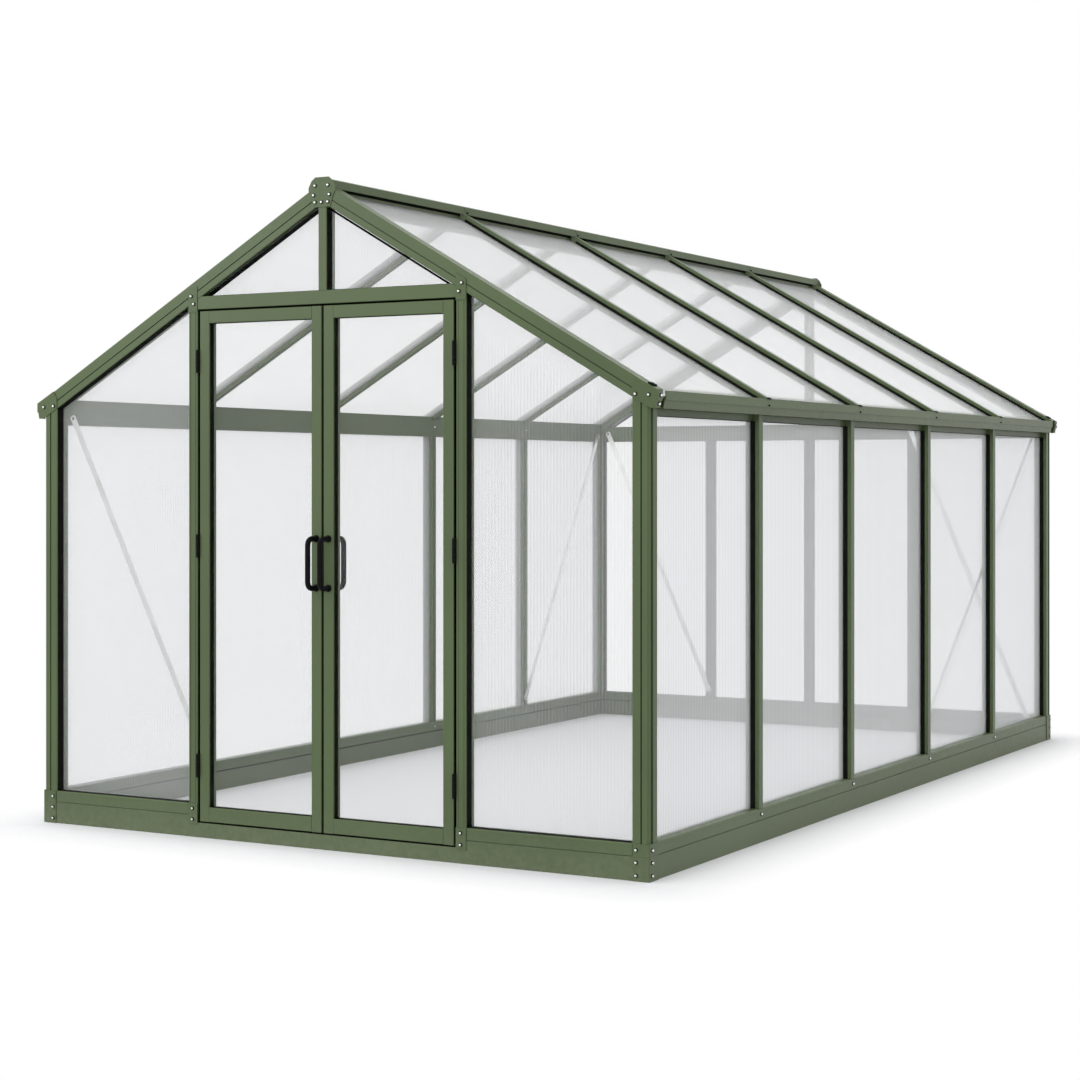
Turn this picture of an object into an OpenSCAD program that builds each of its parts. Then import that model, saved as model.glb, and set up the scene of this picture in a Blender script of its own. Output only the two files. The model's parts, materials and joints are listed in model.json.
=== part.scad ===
// Walk-in greenhouse with an extruded frame, sheet glazing and a pair of hinged doors in the front gable.
// Millimetres. X runs to the right seen from the doors, Y runs to the back and Z runs up.
// The origin is on the ground in the middle of the overall footprint.

/* [Overall] */
// Width over the corner posts
frame_w = 2440; // [2200:10:2800]
// Length over the corner posts
frame_l = 4270; // [3600:10:5000]
// Height of the top edge of the gutters
eave_h = 1513; // [1400:1:1700]
// Slope of the roof in degrees
roof_pitch = 30; // [27:1:34]
// Bays along each side
bays = 5; // [4:1:7]

/* [Frame members] */
// Depth of the wall members from outer to inner face
frame_d = 50; // [46:1:60]
// Wall of the hollow sections
wall_t = 2.5; // [2:0.1:3.5]
// Extra width of the square corner posts over the depth of the wall members
corner_extra = 8; // [4:1:16]
// Bevel on the outer edge of the corner posts
corner_bevel = 6; // [3:0.5:8]
// Bevel on the other edges that face outwards
edge_bevel = 1.5; // [0.5:0.25:2]
// Width of the groove in the gable face of the corner posts
gable_groove_w = 5; // [3:0.5:8]
// Depth of that groove
gable_groove_d = 8; // [4:0.5:9]
// Distance of that groove's middle from the outer edge
gable_groove_at = 27; // [20:1:34]
// Width of the groove in the side face of the corner posts
side_groove_w = 18; // [10:1:22]
// Depth of that groove
side_groove_d = 10; // [5:0.5:11]
// Distance of that groove's middle from the outer edge
side_groove_at = 20; // [18:1:30]
// Face width of the door posts and the back posts
door_post_w = 38; // [34:1:46]
// Distance of the door posts' middles from the middle of the gable
door_post_x = 544; // [480:1:600]
// Width of the two fine grooves in the face of a door post
fine_groove_w = 2; // [1:0.25:3]
// Depth of the fine grooves
fine_groove_d = 1.5; // [0.5:0.25:2]
// Distance of each fine groove's middle from the post's middle
fine_groove_at = 11; // [6:0.5:14]
// Face width of the slim posts in the side walls
wall_bar_w = 34; // [30:1:44]
// Face width of the slim rafters
roof_bar_w = 28; // [26:1:40]
// Depth of the slim rafters
roof_bar_d = 42; // [40:1:50]
// Face width of the king posts
king_post_w = 33; // [30:1:44]
// Width of the bolt slot in the inner face of posts and slim rafters
bolt_slot_w = 7; // [5:0.5:9]
// Depth of the bolt slot
bolt_slot_d = 8; // [5:0.5:9]

/* [Sheets] */
// Thickness of the wall and roof sheets
panel_t = 6; // [4:0.5:8]
// Depth of the wall sheets behind the outer face of the frame
glaze_in = 32; // [26:1:34]
// Depth of the roof sheets under the top of the rafters
roof_glaze_in = 22; // [18:1:24]
// Length of a sheet's edge that is held in a groove
glaze_bite = 7; // [5:0.5:8]
// Room left behind a sheet's edge
slot_room = 2; // [1:0.5:3]
// Length of the roof sheets beyond the wall face, over the gutter
sheet_over = 13; // [8:1:18]
// Clearance between neighbouring pieces
fit = 0.2; // [0.1:0.05:0.3]

/* [Base] */
// Height of the plinth
plinth_h = 75; // [65:1:90]
// Height of the plinth under the doorway
threshold_h = 50; // [40:1:56]
// Height of the sill rail
sill_h = 41; // [34:1:55]
// Height of the shadow groove under the sill rail's outer face
seam_h = 2.5; // [1.5:0.5:4]
// Depth of the shadow groove
seam_d = 3; // [2:0.5:5]
// Bevel on the outer top edge of the sill rail
sill_bevel = 4; // [2:0.5:6]
// Thickness of the joint plates
plate_t = 3; // [2:0.5:4]
// Length of the base plates on the gable faces
base_plate_gable = 54; // [40:1:70]
// Length of the base plates on the side faces
base_plate_side = 60; // [40:1:80]
// Height of the lower edge of the foot plates
foot_plate_low = 46; // [35:1:60]

/* [Eaves] */
// Distance of the gutter's upper band from the wall face
gutter_out = 30; // [24:1:40]
// Height of the gutter's outer face
gutter_h = 55; // [46:1:70]
// Height of the lower band of that face
gutter_band_h = 26; // [20:1:32]
// Setback of the lower band behind the upper band
gutter_step = 4; // [2:0.5:6]
// Lean of the lower band inwards, from its top to its foot
gutter_lean = 5; // [2:0.5:8]
// Thickness of the gutter's outer wall
gutter_wall = 3; // [2:0.5:4]
// Thickness of the gutter's floor
gutter_floor = 5; // [3:0.5:8]
// Height of the beam's lip below the gutter
eave_lip_h = 22; // [18:1:30]
// Width of the beam's lip
eave_lip_w = 28; // [26:1:36]
// Length of the eave plates along the gutter
eave_return = 28; // [20:1:40]

/* [Roof frame] */
// Depth of the gable rafters, square to the slope
rafter_h = 60; // [54:1:70]
// Width of the groove in the gable face of the rafters
rafter_groove_w = 4; // [2:0.5:6]
// Depth of that groove
rafter_groove_d = 6; // [3:0.5:8]
// Distance of that groove's middle from the rafter's top
rafter_groove_at = 36; // [28:1:42]
// Width of the ridge beam
ridge_w = 48; // [46:1:60]
// Drop of the ridge beam's underside below the roof's apex
ridge_drop = 84; // [78:1:100]
// Width of the hollow in the ridge beam
ridge_hollow_w = 18; // [10:1:20]
// Width of the ridge cap
cap_w = 82; // [70:1:100]
// Height of the cap's side face
cap_side_h = 26; // [20:1:32]
// Width of the cap's flat top
cap_flat_w = 40; // [24:1:60]
// Rise of the cap's top above the roof's apex
cap_rise = 10; // [6:1:14]
// Width of the ridge end plates
ridge_plate_w = 108; // [96:1:130]
// Height of the ridge end plates
ridge_plate_h = 100; // [92:1:120]
// Rise of the ridge end plates above the cap
ridge_plate_rise = 5; // [2:1:10]

/* [Gables] */
// Height of the header and of its end faces
header_h = 45; // [38:1:55]
// Drop of the doorway's head below the rafters at the door posts
header_drop = 25; // [15:1:40]
// Distance of the upper end of the head plates from the rafters' tops
head_plate_p = 22; // [14:1:32]
// Length of the head plates below the doorway's head
head_plate_low = 8; // [4:1:16]
// Height of the tie beam in the back gable
tie_h = 76; // [60:1:90]
// Length cut off the sharp tips of the gable sheets
tip_cut = 12; // [8:1:24]

/* [Braces] */
// Width of the braces
brace_w = 25; // [18:1:32]
// Thickness of the braces
brace_t = 3; // [2:0.5:4]
// Bevel on the corners of a brace
brace_bevel = 6; // [3:0.5:8]
// Distance of a brace's end from the corner
brace_in = 36; // [20:1:50]
// Rise of a brace's lower end above the sill rail
brace_rise = 40; // [20:1:70]

/* [Doors] */
// Thickness of the door leaves
leaf_t = 40; // [34:1:44]
// Width of the stiles
stile_w = 40; // [34:1:50]
// Height of the top rails
top_rail_h = 42; // [34:1:55]
// Height of the bottom rails
bottom_rail_h = 50; // [40:1:70]
// Thickness of the door sheets
door_panel_t = 5; // [3:0.5:6]
// Depth of the door sheets behind the leaf's face
door_glaze_in = 25; // [18:1:28]
// Gap between leaf and door post
hinge_gap = 10; // [9:0.5:14]
// Gap between the two leaves
meeting_gap = 9; // [8:0.5:14]
// Gap between leaf and header
top_gap = 7; // [6:0.5:12]
// Gap between leaf and threshold
bottom_gap = 6; // [6:0.5:12]

/* [Hinges] */
// Height of a hinge
hinge_h = 80; // [60:1:110]
// Distance of the hinge axis in front of the leaf's face
hinge_out = 5; // [5:0.25:7]
// Radius of the knuckles
knuckle_r = 6.5; // [5.5:0.1:6.7]
// Radius of the pin
pin_r = 3; // [2:0.1:3.5]
// Radial play of the pin
pin_play = 0.05; // [0.02:0.01:0.1]
// Gap between neighbouring knuckles
knuckle_gap = 0.5; // [0.3:0.1:1]
// Thickness of the hinge leaves
hinge_leaf_t = 2.5; // [1.5:0.25:2.5]
// Depth of the hinge leaves in the gap
hinge_leaf_d = 22; // [14:1:24]

/* [Handles] */
// Distance between the legs of a handle
handle_c = 160; // [120:1:220]
// Diameter of the handle rod
handle_rod = 14; // [10:0.5:18]
// Distance of the rod's middle from the leaf
handle_out = 52; // [44:1:70]
// Bend radius of the rod
handle_bend = 18; // [14:1:24]
// Diameter of the handle's feet
foot_dia = 24; // [20:1:30]
// Thickness of the feet
foot_t = 4; // [2:0.5:6]

/* [Hidden] */
$fn = 64;
// Overrun of cuts beyond a face
over = 1;
// Heights of the hinges on a leaf
hinge_shares = [0.109, 0.54, 0.902];
// Height of the handles on a leaf
handle_share = 0.511;
// Outline of half a ridge plate, from the top to the foot
ridge_plate_shares = [[0.5, 1], [0.78, 0.88], [1, 0.66], [1, 0.52], [0.86, 0.42], [0.62, 0]];

half_w = frame_w / 2;
half_l = frame_l / 2;
corner_post_w = frame_d + corner_extra;
reach = frame_l;
front_reach = handle_out + handle_rod / 2;
back_reach = plate_t + fit;
y_mid = (front_reach - back_reach) / 2;
y_front = y_mid - half_l;
y_back = y_mid + half_l;
apex_z = eave_h + (half_w + gutter_out) * tan(roof_pitch);
sill_top = plinth_h + sill_h;
gutter_low = eave_h - gutter_h;
eave_low = gutter_low - eave_lip_h;
band_z = gutter_low + gutter_band_h;
trough_z = gutter_low + gutter_floor;
inner_w = half_w - frame_d;
lip_x = inner_w + eave_lip_w;
gutter_x = half_w + gutter_out;
gutter_in_x = gutter_x - gutter_wall;
lower_out = gutter_out - gutter_step;
foot_out = lower_out - gutter_lean;
rafter_end_x = gutter_in_x - gutter_step;
groove_d = glaze_bite + slot_room;
notch_p = roof_glaze_in + panel_t;
seat_p = notch_p + fit;
pane_p = rafter_h - glaze_bite;
ridge_half = ridge_w / 2;
ridge_low = apex_z - ridge_drop;
cap_half = cap_w / 2;
cap_top = apex_z + cap_rise;
opening_half = door_post_x - door_post_w / 2;
head_z = apex_z - door_post_x * tan(roof_pitch) - rafter_h / cos(roof_pitch) - header_drop;
header_top = head_z + header_h;
tie_low = eave_low;
tie_top = tie_low + tie_h;
hinge_edge = opening_half - hinge_gap;
meeting_edge = meeting_gap / 2;
leaf_low = threshold_h + bottom_gap;
leaf_top = head_z - top_gap;
leaf_h = leaf_top - leaf_low;
axis_x = opening_half - hinge_gap / 2;
axis_y = y_front - hinge_out;
knuckle_h = (hinge_h - 2 * knuckle_gap) / 3;
handle_z = leaf_low + handle_share * leaf_h;
handle_x = meeting_edge + stile_w / 2;
sheet_top_s = (ridge_half + roof_glaze_in * sin(roof_pitch)) / cos(roof_pitch) - glaze_bite;
sheet_low_s = (half_w + sheet_over + notch_p * sin(roof_pitch)) / cos(roof_pitch);

frame_color = "#6a7858";
sheet_color = [0.93, 0.95, 0.96, 0.45];
clear_color = [0.95, 0.97, 0.98, 0.3];
strip_color = "#b9bdb8";
black_color = "#17181a";

// Height of the plane that lies p below the rafters' tops, at distance x from the ridge line.
function roof_z(x, p) = apex_z - abs(x) * tan(roof_pitch) - p / cos(roof_pitch);
// Distance from the ridge line at which that plane has height z.
function roof_x(z, p) = (apex_z - p / cos(roof_pitch) - z) / tan(roof_pitch);
// Middle of the post or rafter number k, measured from the middle of the side.
function bar_at(k) = -half_l + frame_l * k / bays;
// Clear ends of bay number k between members that are w wide, with the end members end_w wide.
function bay_from(k, w, end_w) = k == 0 ? -half_l + end_w : bar_at(k) + w / 2;
function bay_to(k, w, end_w) = k == bays - 1 ? half_l - end_w : bar_at(k + 1) - w / 2;

// Frame of one wall: x along it, y outwards from its outer face, z up.
module on_wall(wall) {
  if (wall == "back") translate([0, y_back, 0]) children();
  if (wall == "front") translate([0, y_front, 0]) rotate(180) children();
  if (wall == "left") translate([-half_w, y_mid, 0]) rotate(90) children();
  if (wall == "right") translate([half_w, y_mid, 0]) rotate(-90) children();
}

// Frame of the right slope: x down it from the apex, z outwards from the rafters' tops.
module on_slope() {
  translate([0, 0, apex_z])
    rotate([0, roof_pitch, 0])
      children();
}

module both_sides() {
  children();
  mirror([1, 0, 0]) children();
}

// The four corners: x and y outwards from the outer edge of the post.
module at_corners() {
  translate([0, y_mid, 0]) {
    translate([half_w, half_l, 0]) children();
    mirror([1, 0, 0]) translate([half_w, half_l, 0]) children();
    mirror([0, 1, 0]) translate([half_w, half_l, 0]) children();
    mirror([1, 0, 0]) mirror([0, 1, 0]) translate([half_w, half_l, 0]) children();
  }
}

// A section drawn in y and z, run along x.
module run(from, to) {
  translate([from, 0, 0])
    rotate([90, 0, 90])
      linear_extrude(to - from)
        children();
}

// A section drawn in x and z, run along y.
module run_back(from, to) {
  translate([0, to, 0])
    rotate([90, 0, 0])
      linear_extrude(to - from)
        children();
}

// Everything under the plane that lies p below the rafters' tops.
module under_roof(p) {
  run_back(-reach, reach)
    polygon([
      [-half_w, 0],
      [half_w, 0],
      [half_w, roof_z(half_w, p)],
      [0, roof_z(0, p)],
      [-half_w, roof_z(half_w, p)]
    ]);
}

// Groove for a sheet t thick, open at y = 0.
module groove(t) {
  translate([-t / 2 - fit, -groove_d])
    square([t + 2 * fit, groove_d + over]);
}

// Solid bar with its outer face at y = 0 and bevelled edges on that face.
module bevelled(w, d) {
  polygon([
    [-w / 2, -d],
    [w / 2, -d],
    [w / 2, -edge_bevel],
    [w / 2 - edge_bevel, 0],
    [-w / 2 + edge_bevel, 0],
    [-w / 2, -edge_bevel]
  ]);
}

// Extruded bar with its outer face at y = 0 and sheet grooves on the given sides.
module bar_section(w, d, glaze, sides) {
  difference() {
    bevelled(w, d);
    for (s = sides) {
      translate([s * w / 2, -glaze - panel_t / 2]) rotate(-90 * s) groove(panel_t);
    }
    translate([-w / 2 + wall_t, -glaze + fit + wall_t])
      square([w - 2 * wall_t, glaze - fit - 2 * wall_t]);
    translate([-bolt_slot_w / 2, -d - over])
      square([bolt_slot_w, bolt_slot_d + over]);
  }
}

// Corner post with its outer edge at the origin.
module corner_section() {
  difference() {
    polygon([
      [0, -corner_bevel],
      [-corner_bevel, 0],
      [-corner_post_w + edge_bevel, 0],
      [-corner_post_w, -edge_bevel],
      [-corner_post_w, -corner_post_w],
      [-edge_bevel, -corner_post_w],
      [0, -corner_post_w + edge_bevel]
    ]);
    translate([-gable_groove_at - gable_groove_w / 2, -gable_groove_d])
      square([gable_groove_w, gable_groove_d + over]);
    translate([-side_groove_d, -side_groove_at - side_groove_w / 2])
      square([side_groove_d + over, side_groove_w]);
    translate([-corner_post_w, -glaze_in - panel_t / 2]) rotate(90) groove(panel_t);
    translate([-glaze_in - panel_t / 2, -corner_post_w]) rotate(180) groove(panel_t);
    translate([-glaze_in + fit + wall_t, -glaze_in + fit + wall_t])
      square(glaze_in - fit - 2 * wall_t - side_groove_d);
  }
}

// Plinth rail with two hollows, one under and one over the level of the threshold.
module plinth_section() {
  difference() {
    translate([-frame_d, 0]) square([frame_d, plinth_h]);
    translate([-frame_d + wall_t, wall_t])
      square([frame_d - 2 * wall_t, threshold_h - 2 * wall_t]);
    translate([-frame_d + wall_t, threshold_h])
      square([frame_d - 2 * wall_t, plinth_h - threshold_h - wall_t]);
  }
}

// Sill rail with a groove for the sheets in its top.
module sill_section() {
  translate([0, plinth_h + fit])
    difference() {
      polygon([
        [-frame_d, 0],
        [-seam_d, 0],
        [-seam_d, seam_h],
        [0, seam_h],
        [0, sill_h - fit - sill_bevel],
        [-sill_bevel, sill_h - fit],
        [-frame_d, sill_h - fit]
      ]);
      translate([-glaze_in - panel_t / 2, sill_h - fit]) groove(panel_t);
      translate([-frame_d + wall_t, seam_h + wall_t])
        square([frame_d - 2 * wall_t - seam_d, sill_h - groove_d - seam_h - 3 * wall_t]);
    }
}

// Cross beam h high with a sheet groove in its top.
module beam_section(low, h) {
  translate([0, low])
    difference() {
      translate([0, h / 2]) rotate(-90) bevelled(h, frame_d);
      translate([-glaze_in - panel_t / 2, h]) groove(panel_t);
      translate([-frame_d + wall_t, groove_d + wall_t])
        square([frame_d - 2 * wall_t, h - 2 * groove_d - 2 * wall_t]);
    }
}

// Eave beam of the right wall, with its lip for the wall sheets and its open gutter.
module eave_section() {
  difference() {
    polygon([
      [inner_w, eave_low],
      [lip_x, eave_low],
      [lip_x, gutter_low],
      [half_w + foot_out, gutter_low],
      [half_w + lower_out, band_z],
      [gutter_x, band_z],
      [gutter_x, eave_h],
      [gutter_in_x, eave_h],
      [gutter_in_x, band_z + gutter_wall],
      [half_w + lower_out - gutter_wall, band_z + gutter_wall],
      [half_w + foot_out - gutter_wall, trough_z],
      [half_w, trough_z],
      [half_w, roof_z(half_w, seat_p)],
      [inner_w, roof_z(inner_w, seat_p)]
    ]);
    translate([half_w - glaze_in - panel_t / 2, eave_low]) rotate(180) groove(panel_t);
    translate([inner_w + wall_t, gutter_low + wall_t])
      square([frame_d - 2 * wall_t, roof_z(half_w, seat_p) - gutter_low - 2 * wall_t]);
  }
}

// Gable rafter with its gable face at x = 0 and its top at y = 0.
module gable_rafter_section() {
  difference() {
    translate([0, -rafter_h / 2]) rotate(90) bevelled(rafter_h, frame_d);
    translate([frame_d, -roof_glaze_in - panel_t / 2]) rotate(-90) groove(panel_t);
    translate([glaze_in + panel_t / 2, -rafter_h]) rotate(180) groove(panel_t);
    translate([-over, -rafter_groove_at - rafter_groove_w / 2])
      square([rafter_groove_d + over, rafter_groove_w]);
    translate([rafter_groove_d + wall_t, -rafter_h + wall_t])
      square([glaze_in - fit - 2 * wall_t - rafter_groove_d, rafter_h - 2 * wall_t]);
  }
}

// Rafter of the right slope, cut upright at the ridge beam and notched over the eave beam.
module cut_rafter() {
  difference() {
    intersection() {
      on_slope() run(0, reach) children();
      translate([ridge_half + fit, -reach, 0])
        cube([rafter_end_x - ridge_half - 2 * fit, 2 * reach, 2 * apex_z]);
    }
    run_back(-reach, reach)
      polygon([
        [inner_w - fit, 0],
        [gutter_x, 0],
        [gutter_x, roof_z(gutter_x, notch_p)],
        [inner_w - fit, roof_z(inner_w - fit, notch_p)]
      ]);
  }
}

module ridge_section() {
  difference() {
    translate([-ridge_half, ridge_low])
      square([ridge_w, roof_z(ridge_half, 0) - ridge_low]);
    for (m = [0, 1]) {
      mirror([m, 0])
        translate([0, apex_z])
          rotate(-roof_pitch)
            translate([sheet_top_s - slot_room, -notch_p - fit])
              square([ridge_w, panel_t + 2 * fit]);
    }
    translate([-ridge_hollow_w / 2, ridge_low + wall_t])
      square([ridge_hollow_w, roof_z(ridge_half, 0) - ridge_low - 2 * wall_t]);
  }
}

// Hollow ridge cap that rests on the rafters and on the ridge beam.
module cap_section() {
  low = roof_z(cap_half, -fit);
  seat = roof_z(ridge_half, -fit);
  shoulder = low + cap_side_h;
  inner = cap_half - wall_t;
  floor_z = roof_z(inner, -fit) + wall_t;
  difference() {
    polygon([
      [-cap_half, low],
      [-ridge_half, seat],
      [ridge_half, seat],
      [cap_half, low],
      [cap_half, shoulder],
      [cap_flat_w / 2, cap_top],
      [-cap_flat_w / 2, cap_top],
      [-cap_half, shoulder]
    ]);
    polygon([
      [-ridge_half, seat + wall_t],
      [ridge_half, seat + wall_t],
      [inner, floor_z],
      [inner, shoulder - wall_t],
      [cap_flat_w / 2, cap_top - wall_t],
      [-cap_flat_w / 2, cap_top - wall_t],
      [-inner, shoulder - wall_t],
      [-inner, floor_z]
    ]);
  }
}

// Upright of a wall from z = low to the eave beam, cut to its lip.
module wall_post(low) {
  difference() {
    translate([0, 0, low])
      linear_extrude(gutter_low - fit - low)
        bar_section(wall_bar_w, frame_d, glaze_in, [-1, 1]);
    translate([-wall_bar_w, -frame_d - over, eave_low - fit])
      cube([2 * wall_bar_w, eave_lip_w + over + fit, eave_lip_h + over]);
  }
}

module upright(w, low, high, sides) {
  translate([0, 0, low])
    linear_extrude(high - low)
      bar_section(w, frame_d, glaze_in, sides);
}

// Rectangular sheet of a wall, given by its clear opening.
module wall_sheet(from, to, low, high) {
  translate([from - glaze_bite, -glaze_in - panel_t, low - glaze_bite])
    cube([to - from + 2 * glaze_bite, panel_t, high - low + 2 * glaze_bite]);
}

// Sheet of a gable wall, given by its outline in x and z.
module gable_sheet(points) {
  translate([0, -glaze_in, 0])
    rotate([90, 0, 0])
      linear_extrude(panel_t)
        polygon(points);
}

// Sheet above a cross beam, between king post and rafter.
module top_sheet(beam_top) {
  low = beam_top - glaze_bite;
  tip = roof_x(low, pane_p) - tip_cut;
  inner = king_post_w / 2 - glaze_bite;
  gable_sheet([
    [inner, low],
    [tip, low],
    [tip, roof_z(tip, pane_p)],
    [ridge_half + slot_room, roof_z(ridge_half + slot_room, pane_p)],
    [ridge_half + slot_room, ridge_low - slot_room],
    [inner, ridge_low - slot_room]
  ]);
}

// Flat strip on the inner face of a wall, between two bolt points in x and z.
module brace(from, to) {
  span = to - from;
  half = brace_w / 2;
  bevel = half - brace_bevel;
  far = norm(span) + half;
  translate([0, -frame_d - fit, 0])
    rotate([90, 0, 0])
      translate(from)
        rotate(atan2(span[1], span[0]))
          linear_extrude(brace_t)
            polygon([
              [-half, -bevel],
              [-bevel, -half],
              [far - brace_bevel, -half],
              [far, -bevel],
              [far, bevel],
              [far - brace_bevel, half],
              [-bevel, half],
              [-half, bevel]
            ]);
}

// Stile of a leaf with its outer edge at x = 0 and its face at y = 0.
module stile_section() {
  difference() {
    translate([stile_w / 2, 0]) mirror([0, 1]) bevelled(stile_w, leaf_t);
    translate([stile_w, door_glaze_in + door_panel_t / 2]) rotate(-90) groove(door_panel_t);
    translate([wall_t, wall_t])
      square([stile_w - groove_d - 2 * wall_t, leaf_t - 2 * wall_t]);
  }
}

// Rail of a leaf with its face at x = 0 and its sheet groove in its top.
module rail_section(h) {
  difference() {
    translate([0, h / 2]) rotate(90) bevelled(h, leaf_t);
    translate([door_glaze_in + door_panel_t / 2, h]) groove(door_panel_t);
    translate([wall_t, wall_t])
      square([leaf_t - 2 * wall_t, h - groove_d - 2 * wall_t]);
  }
}

module leaf_stiles() {
  translate([0, y_front, leaf_low]) {
    translate([-hinge_edge, 0, 0]) linear_extrude(leaf_h) stile_section();
    translate([-meeting_edge, 0, 0]) mirror([1, 0, 0]) linear_extrude(leaf_h) stile_section();
  }
}

module leaf_rails() {
  from = -hinge_edge + stile_w + fit;
  to = -meeting_edge - stile_w - fit;
  translate([0, y_front, leaf_low]) run(from, to) rail_section(bottom_rail_h);
  translate([0, y_front, leaf_top]) mirror([0, 0, 1]) run(from, to) rail_section(top_rail_h);
}

module leaf_sheet() {
  from = -hinge_edge + stile_w - glaze_bite;
  to = -meeting_edge - stile_w + glaze_bite;
  low = leaf_low + bottom_rail_h - glaze_bite;
  high = leaf_top - top_rail_h + glaze_bite;
  translate([from, y_front + door_glaze_in, low])
    cube([to - from, door_panel_t, high - low]);
}

// Half of a bow handle that stands out along -y, from its foot to its middle.
module half_handle() {
  translate([0, 0, handle_c / 2])
    rotate([90, 0, 0]) {
      cylinder(h = foot_t, d = foot_dia);
      cylinder(h = handle_out - handle_bend, d = handle_rod);
    }
  translate([0, -handle_out + handle_bend, handle_c / 2 - handle_bend])
    rotate([180, -90, 0])
      rotate_extrude(angle = 90)
        translate([handle_bend, 0])
          circle(d = handle_rod);
  translate([0, -handle_out, 0])
    cylinder(h = handle_c / 2 - handle_bend, d = handle_rod);
}

module bow_handle() {
  half_handle();
  mirror([0, 0, 1]) half_handle();
}

module leaf_handles() {
  translate([-handle_x, y_front, handle_z]) bow_handle();
  translate([-handle_x, y_front + leaf_t, handle_z]) mirror([0, 1, 0]) bow_handle();
}

module at_hinges() {
  for (share = hinge_shares) {
    translate([-axis_x, axis_y, leaf_low + share * leaf_h - hinge_h / 2]) children();
  }
}

// Hinge half on the post: two knuckles, the pin and a leaf on the post's flank.
module fixed_hinge() {
  difference() {
    translate([-hinge_gap / 2, 0, 0])
      cube([hinge_leaf_t, hinge_out + hinge_leaf_d, hinge_h]);
    translate([0, 0, knuckle_h])
      cylinder(h = knuckle_h + 2 * knuckle_gap, r = knuckle_r + knuckle_gap);
  }
  cylinder(h = knuckle_h, r = knuckle_r);
  translate([0, 0, hinge_h - knuckle_h]) cylinder(h = knuckle_h, r = knuckle_r);
  cylinder(h = hinge_h, r = pin_r);
}

// Hinge half on the door: the middle knuckle and a leaf on the stile's edge.
module moving_hinge() {
  difference() {
    union() {
      difference() {
        translate([hinge_gap / 2 - hinge_leaf_t, 0, 0])
          cube([hinge_leaf_t, hinge_out + hinge_leaf_d, hinge_h]);
        translate([0, 0, -over])
          cylinder(h = knuckle_h + knuckle_gap + over, r = knuckle_r + knuckle_gap);
        translate([0, 0, hinge_h - knuckle_h - knuckle_gap])
          cylinder(h = knuckle_h + knuckle_gap + over, r = knuckle_r + knuckle_gap);
      }
      translate([0, 0, knuckle_h + knuckle_gap]) cylinder(h = knuckle_h, r = knuckle_r);
    }
    cylinder(h = hinge_h, r = pin_r + pin_play);
  }
}

// Base.
module front_plinth() {
  color(frame_color)
    on_wall("front")
      difference() {
        run(-half_w, half_w) plinth_section();
        run(-opening_half, opening_half)
          polygon([
            [over, threshold_h - edge_bevel - over],
            [-edge_bevel, threshold_h],
            [-frame_d - over, threshold_h],
            [-frame_d - over, plinth_h + over],
            [over, plinth_h + over]
          ]);
      }
}

module back_plinth() {
  color(frame_color) on_wall("back") run(-half_w, half_w) plinth_section();
}

module side_plinths() {
  color(frame_color) {
    on_wall("left") run(-half_l + frame_d + fit, half_l - frame_d - fit) plinth_section();
    on_wall("right") run(-half_l + frame_d + fit, half_l - frame_d - fit) plinth_section();
  }
}

module front_sills() {
  color(frame_color)
    both_sides()
      on_wall("front")
        run(door_post_x + door_post_w / 2 + fit, half_w - corner_post_w - fit)
          sill_section();
}

module back_sill() {
  color(frame_color)
    on_wall("back")
      run(-half_w + corner_post_w + fit, half_w - corner_post_w - fit)
        sill_section();
}

module side_sills() {
  color(frame_color) {
    on_wall("left") run(-half_l + corner_post_w + fit, half_l - corner_post_w - fit) sill_section();
    on_wall("right") run(-half_l + corner_post_w + fit, half_l - corner_post_w - fit) sill_section();
  }
}

module base_plate_outline() {
  polygon([
    [fit + plate_t, fit],
    [fit, fit + plate_t],
    [-base_plate_gable, fit + plate_t],
    [-base_plate_gable, fit],
    [fit, fit],
    [fit, -base_plate_side],
    [fit + plate_t, -base_plate_side]
  ]);
}

module base_corner_plates() {
  color(frame_color) {
    at_corners() linear_extrude(plinth_h - fit) base_plate_outline();
    at_corners() translate([0, 0, plinth_h + fit]) linear_extrude(sill_h - fit) base_plate_outline();
  }
}

module foot_plates() {
  color(frame_color)
    both_sides()
      on_wall("front")
        translate([door_post_x - door_post_w / 2, fit, foot_plate_low])
          cube([door_post_w, plate_t, sill_top - foot_plate_low]);
}

// Posts. The corner posts carry the gable rafters, which are notched over them.
module corner_posts() {
  low = plinth_h + fit;
  post_in = half_w - corner_post_w;
  color(frame_color)
    at_corners()
      intersection() {
        linear_extrude(apex_z) corner_section();
        run_back(-reach, reach)
          polygon([
            [-corner_post_w, low],
            [0, low],
            [0, roof_z(half_w, seat_p)],
            [-frame_d, roof_z(inner_w, seat_p)],
            [-frame_d, roof_z(inner_w, rafter_h + fit)],
            [-corner_post_w, roof_z(post_in, rafter_h + fit)]
          ]);
      }
}

module door_posts() {
  low = plinth_h + fit;
  color(frame_color)
    both_sides()
      on_wall("front")
        intersection() {
          difference() {
            translate([door_post_x, 0, 0]) upright(door_post_w, low, apex_z, [1]);
            for (s = [-1, 1]) {
              translate([door_post_x + s * fine_groove_at - fine_groove_w / 2, -fine_groove_d, 0])
                cube([fine_groove_w, fine_groove_d + over, apex_z + over]);
            }
          }
          under_roof(rafter_h + fit);
        }
}

module left_wall_posts() {
  color(frame_color)
    on_wall("left")
      for (k = [1 : bays - 1]) {
        translate([bar_at(k), 0, 0]) wall_post(sill_top + fit);
      }
}

module right_wall_posts() {
  color(frame_color)
    on_wall("right")
      for (k = [1 : bays - 1]) {
        translate([bar_at(k), 0, 0]) wall_post(sill_top + fit);
      }
}

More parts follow.
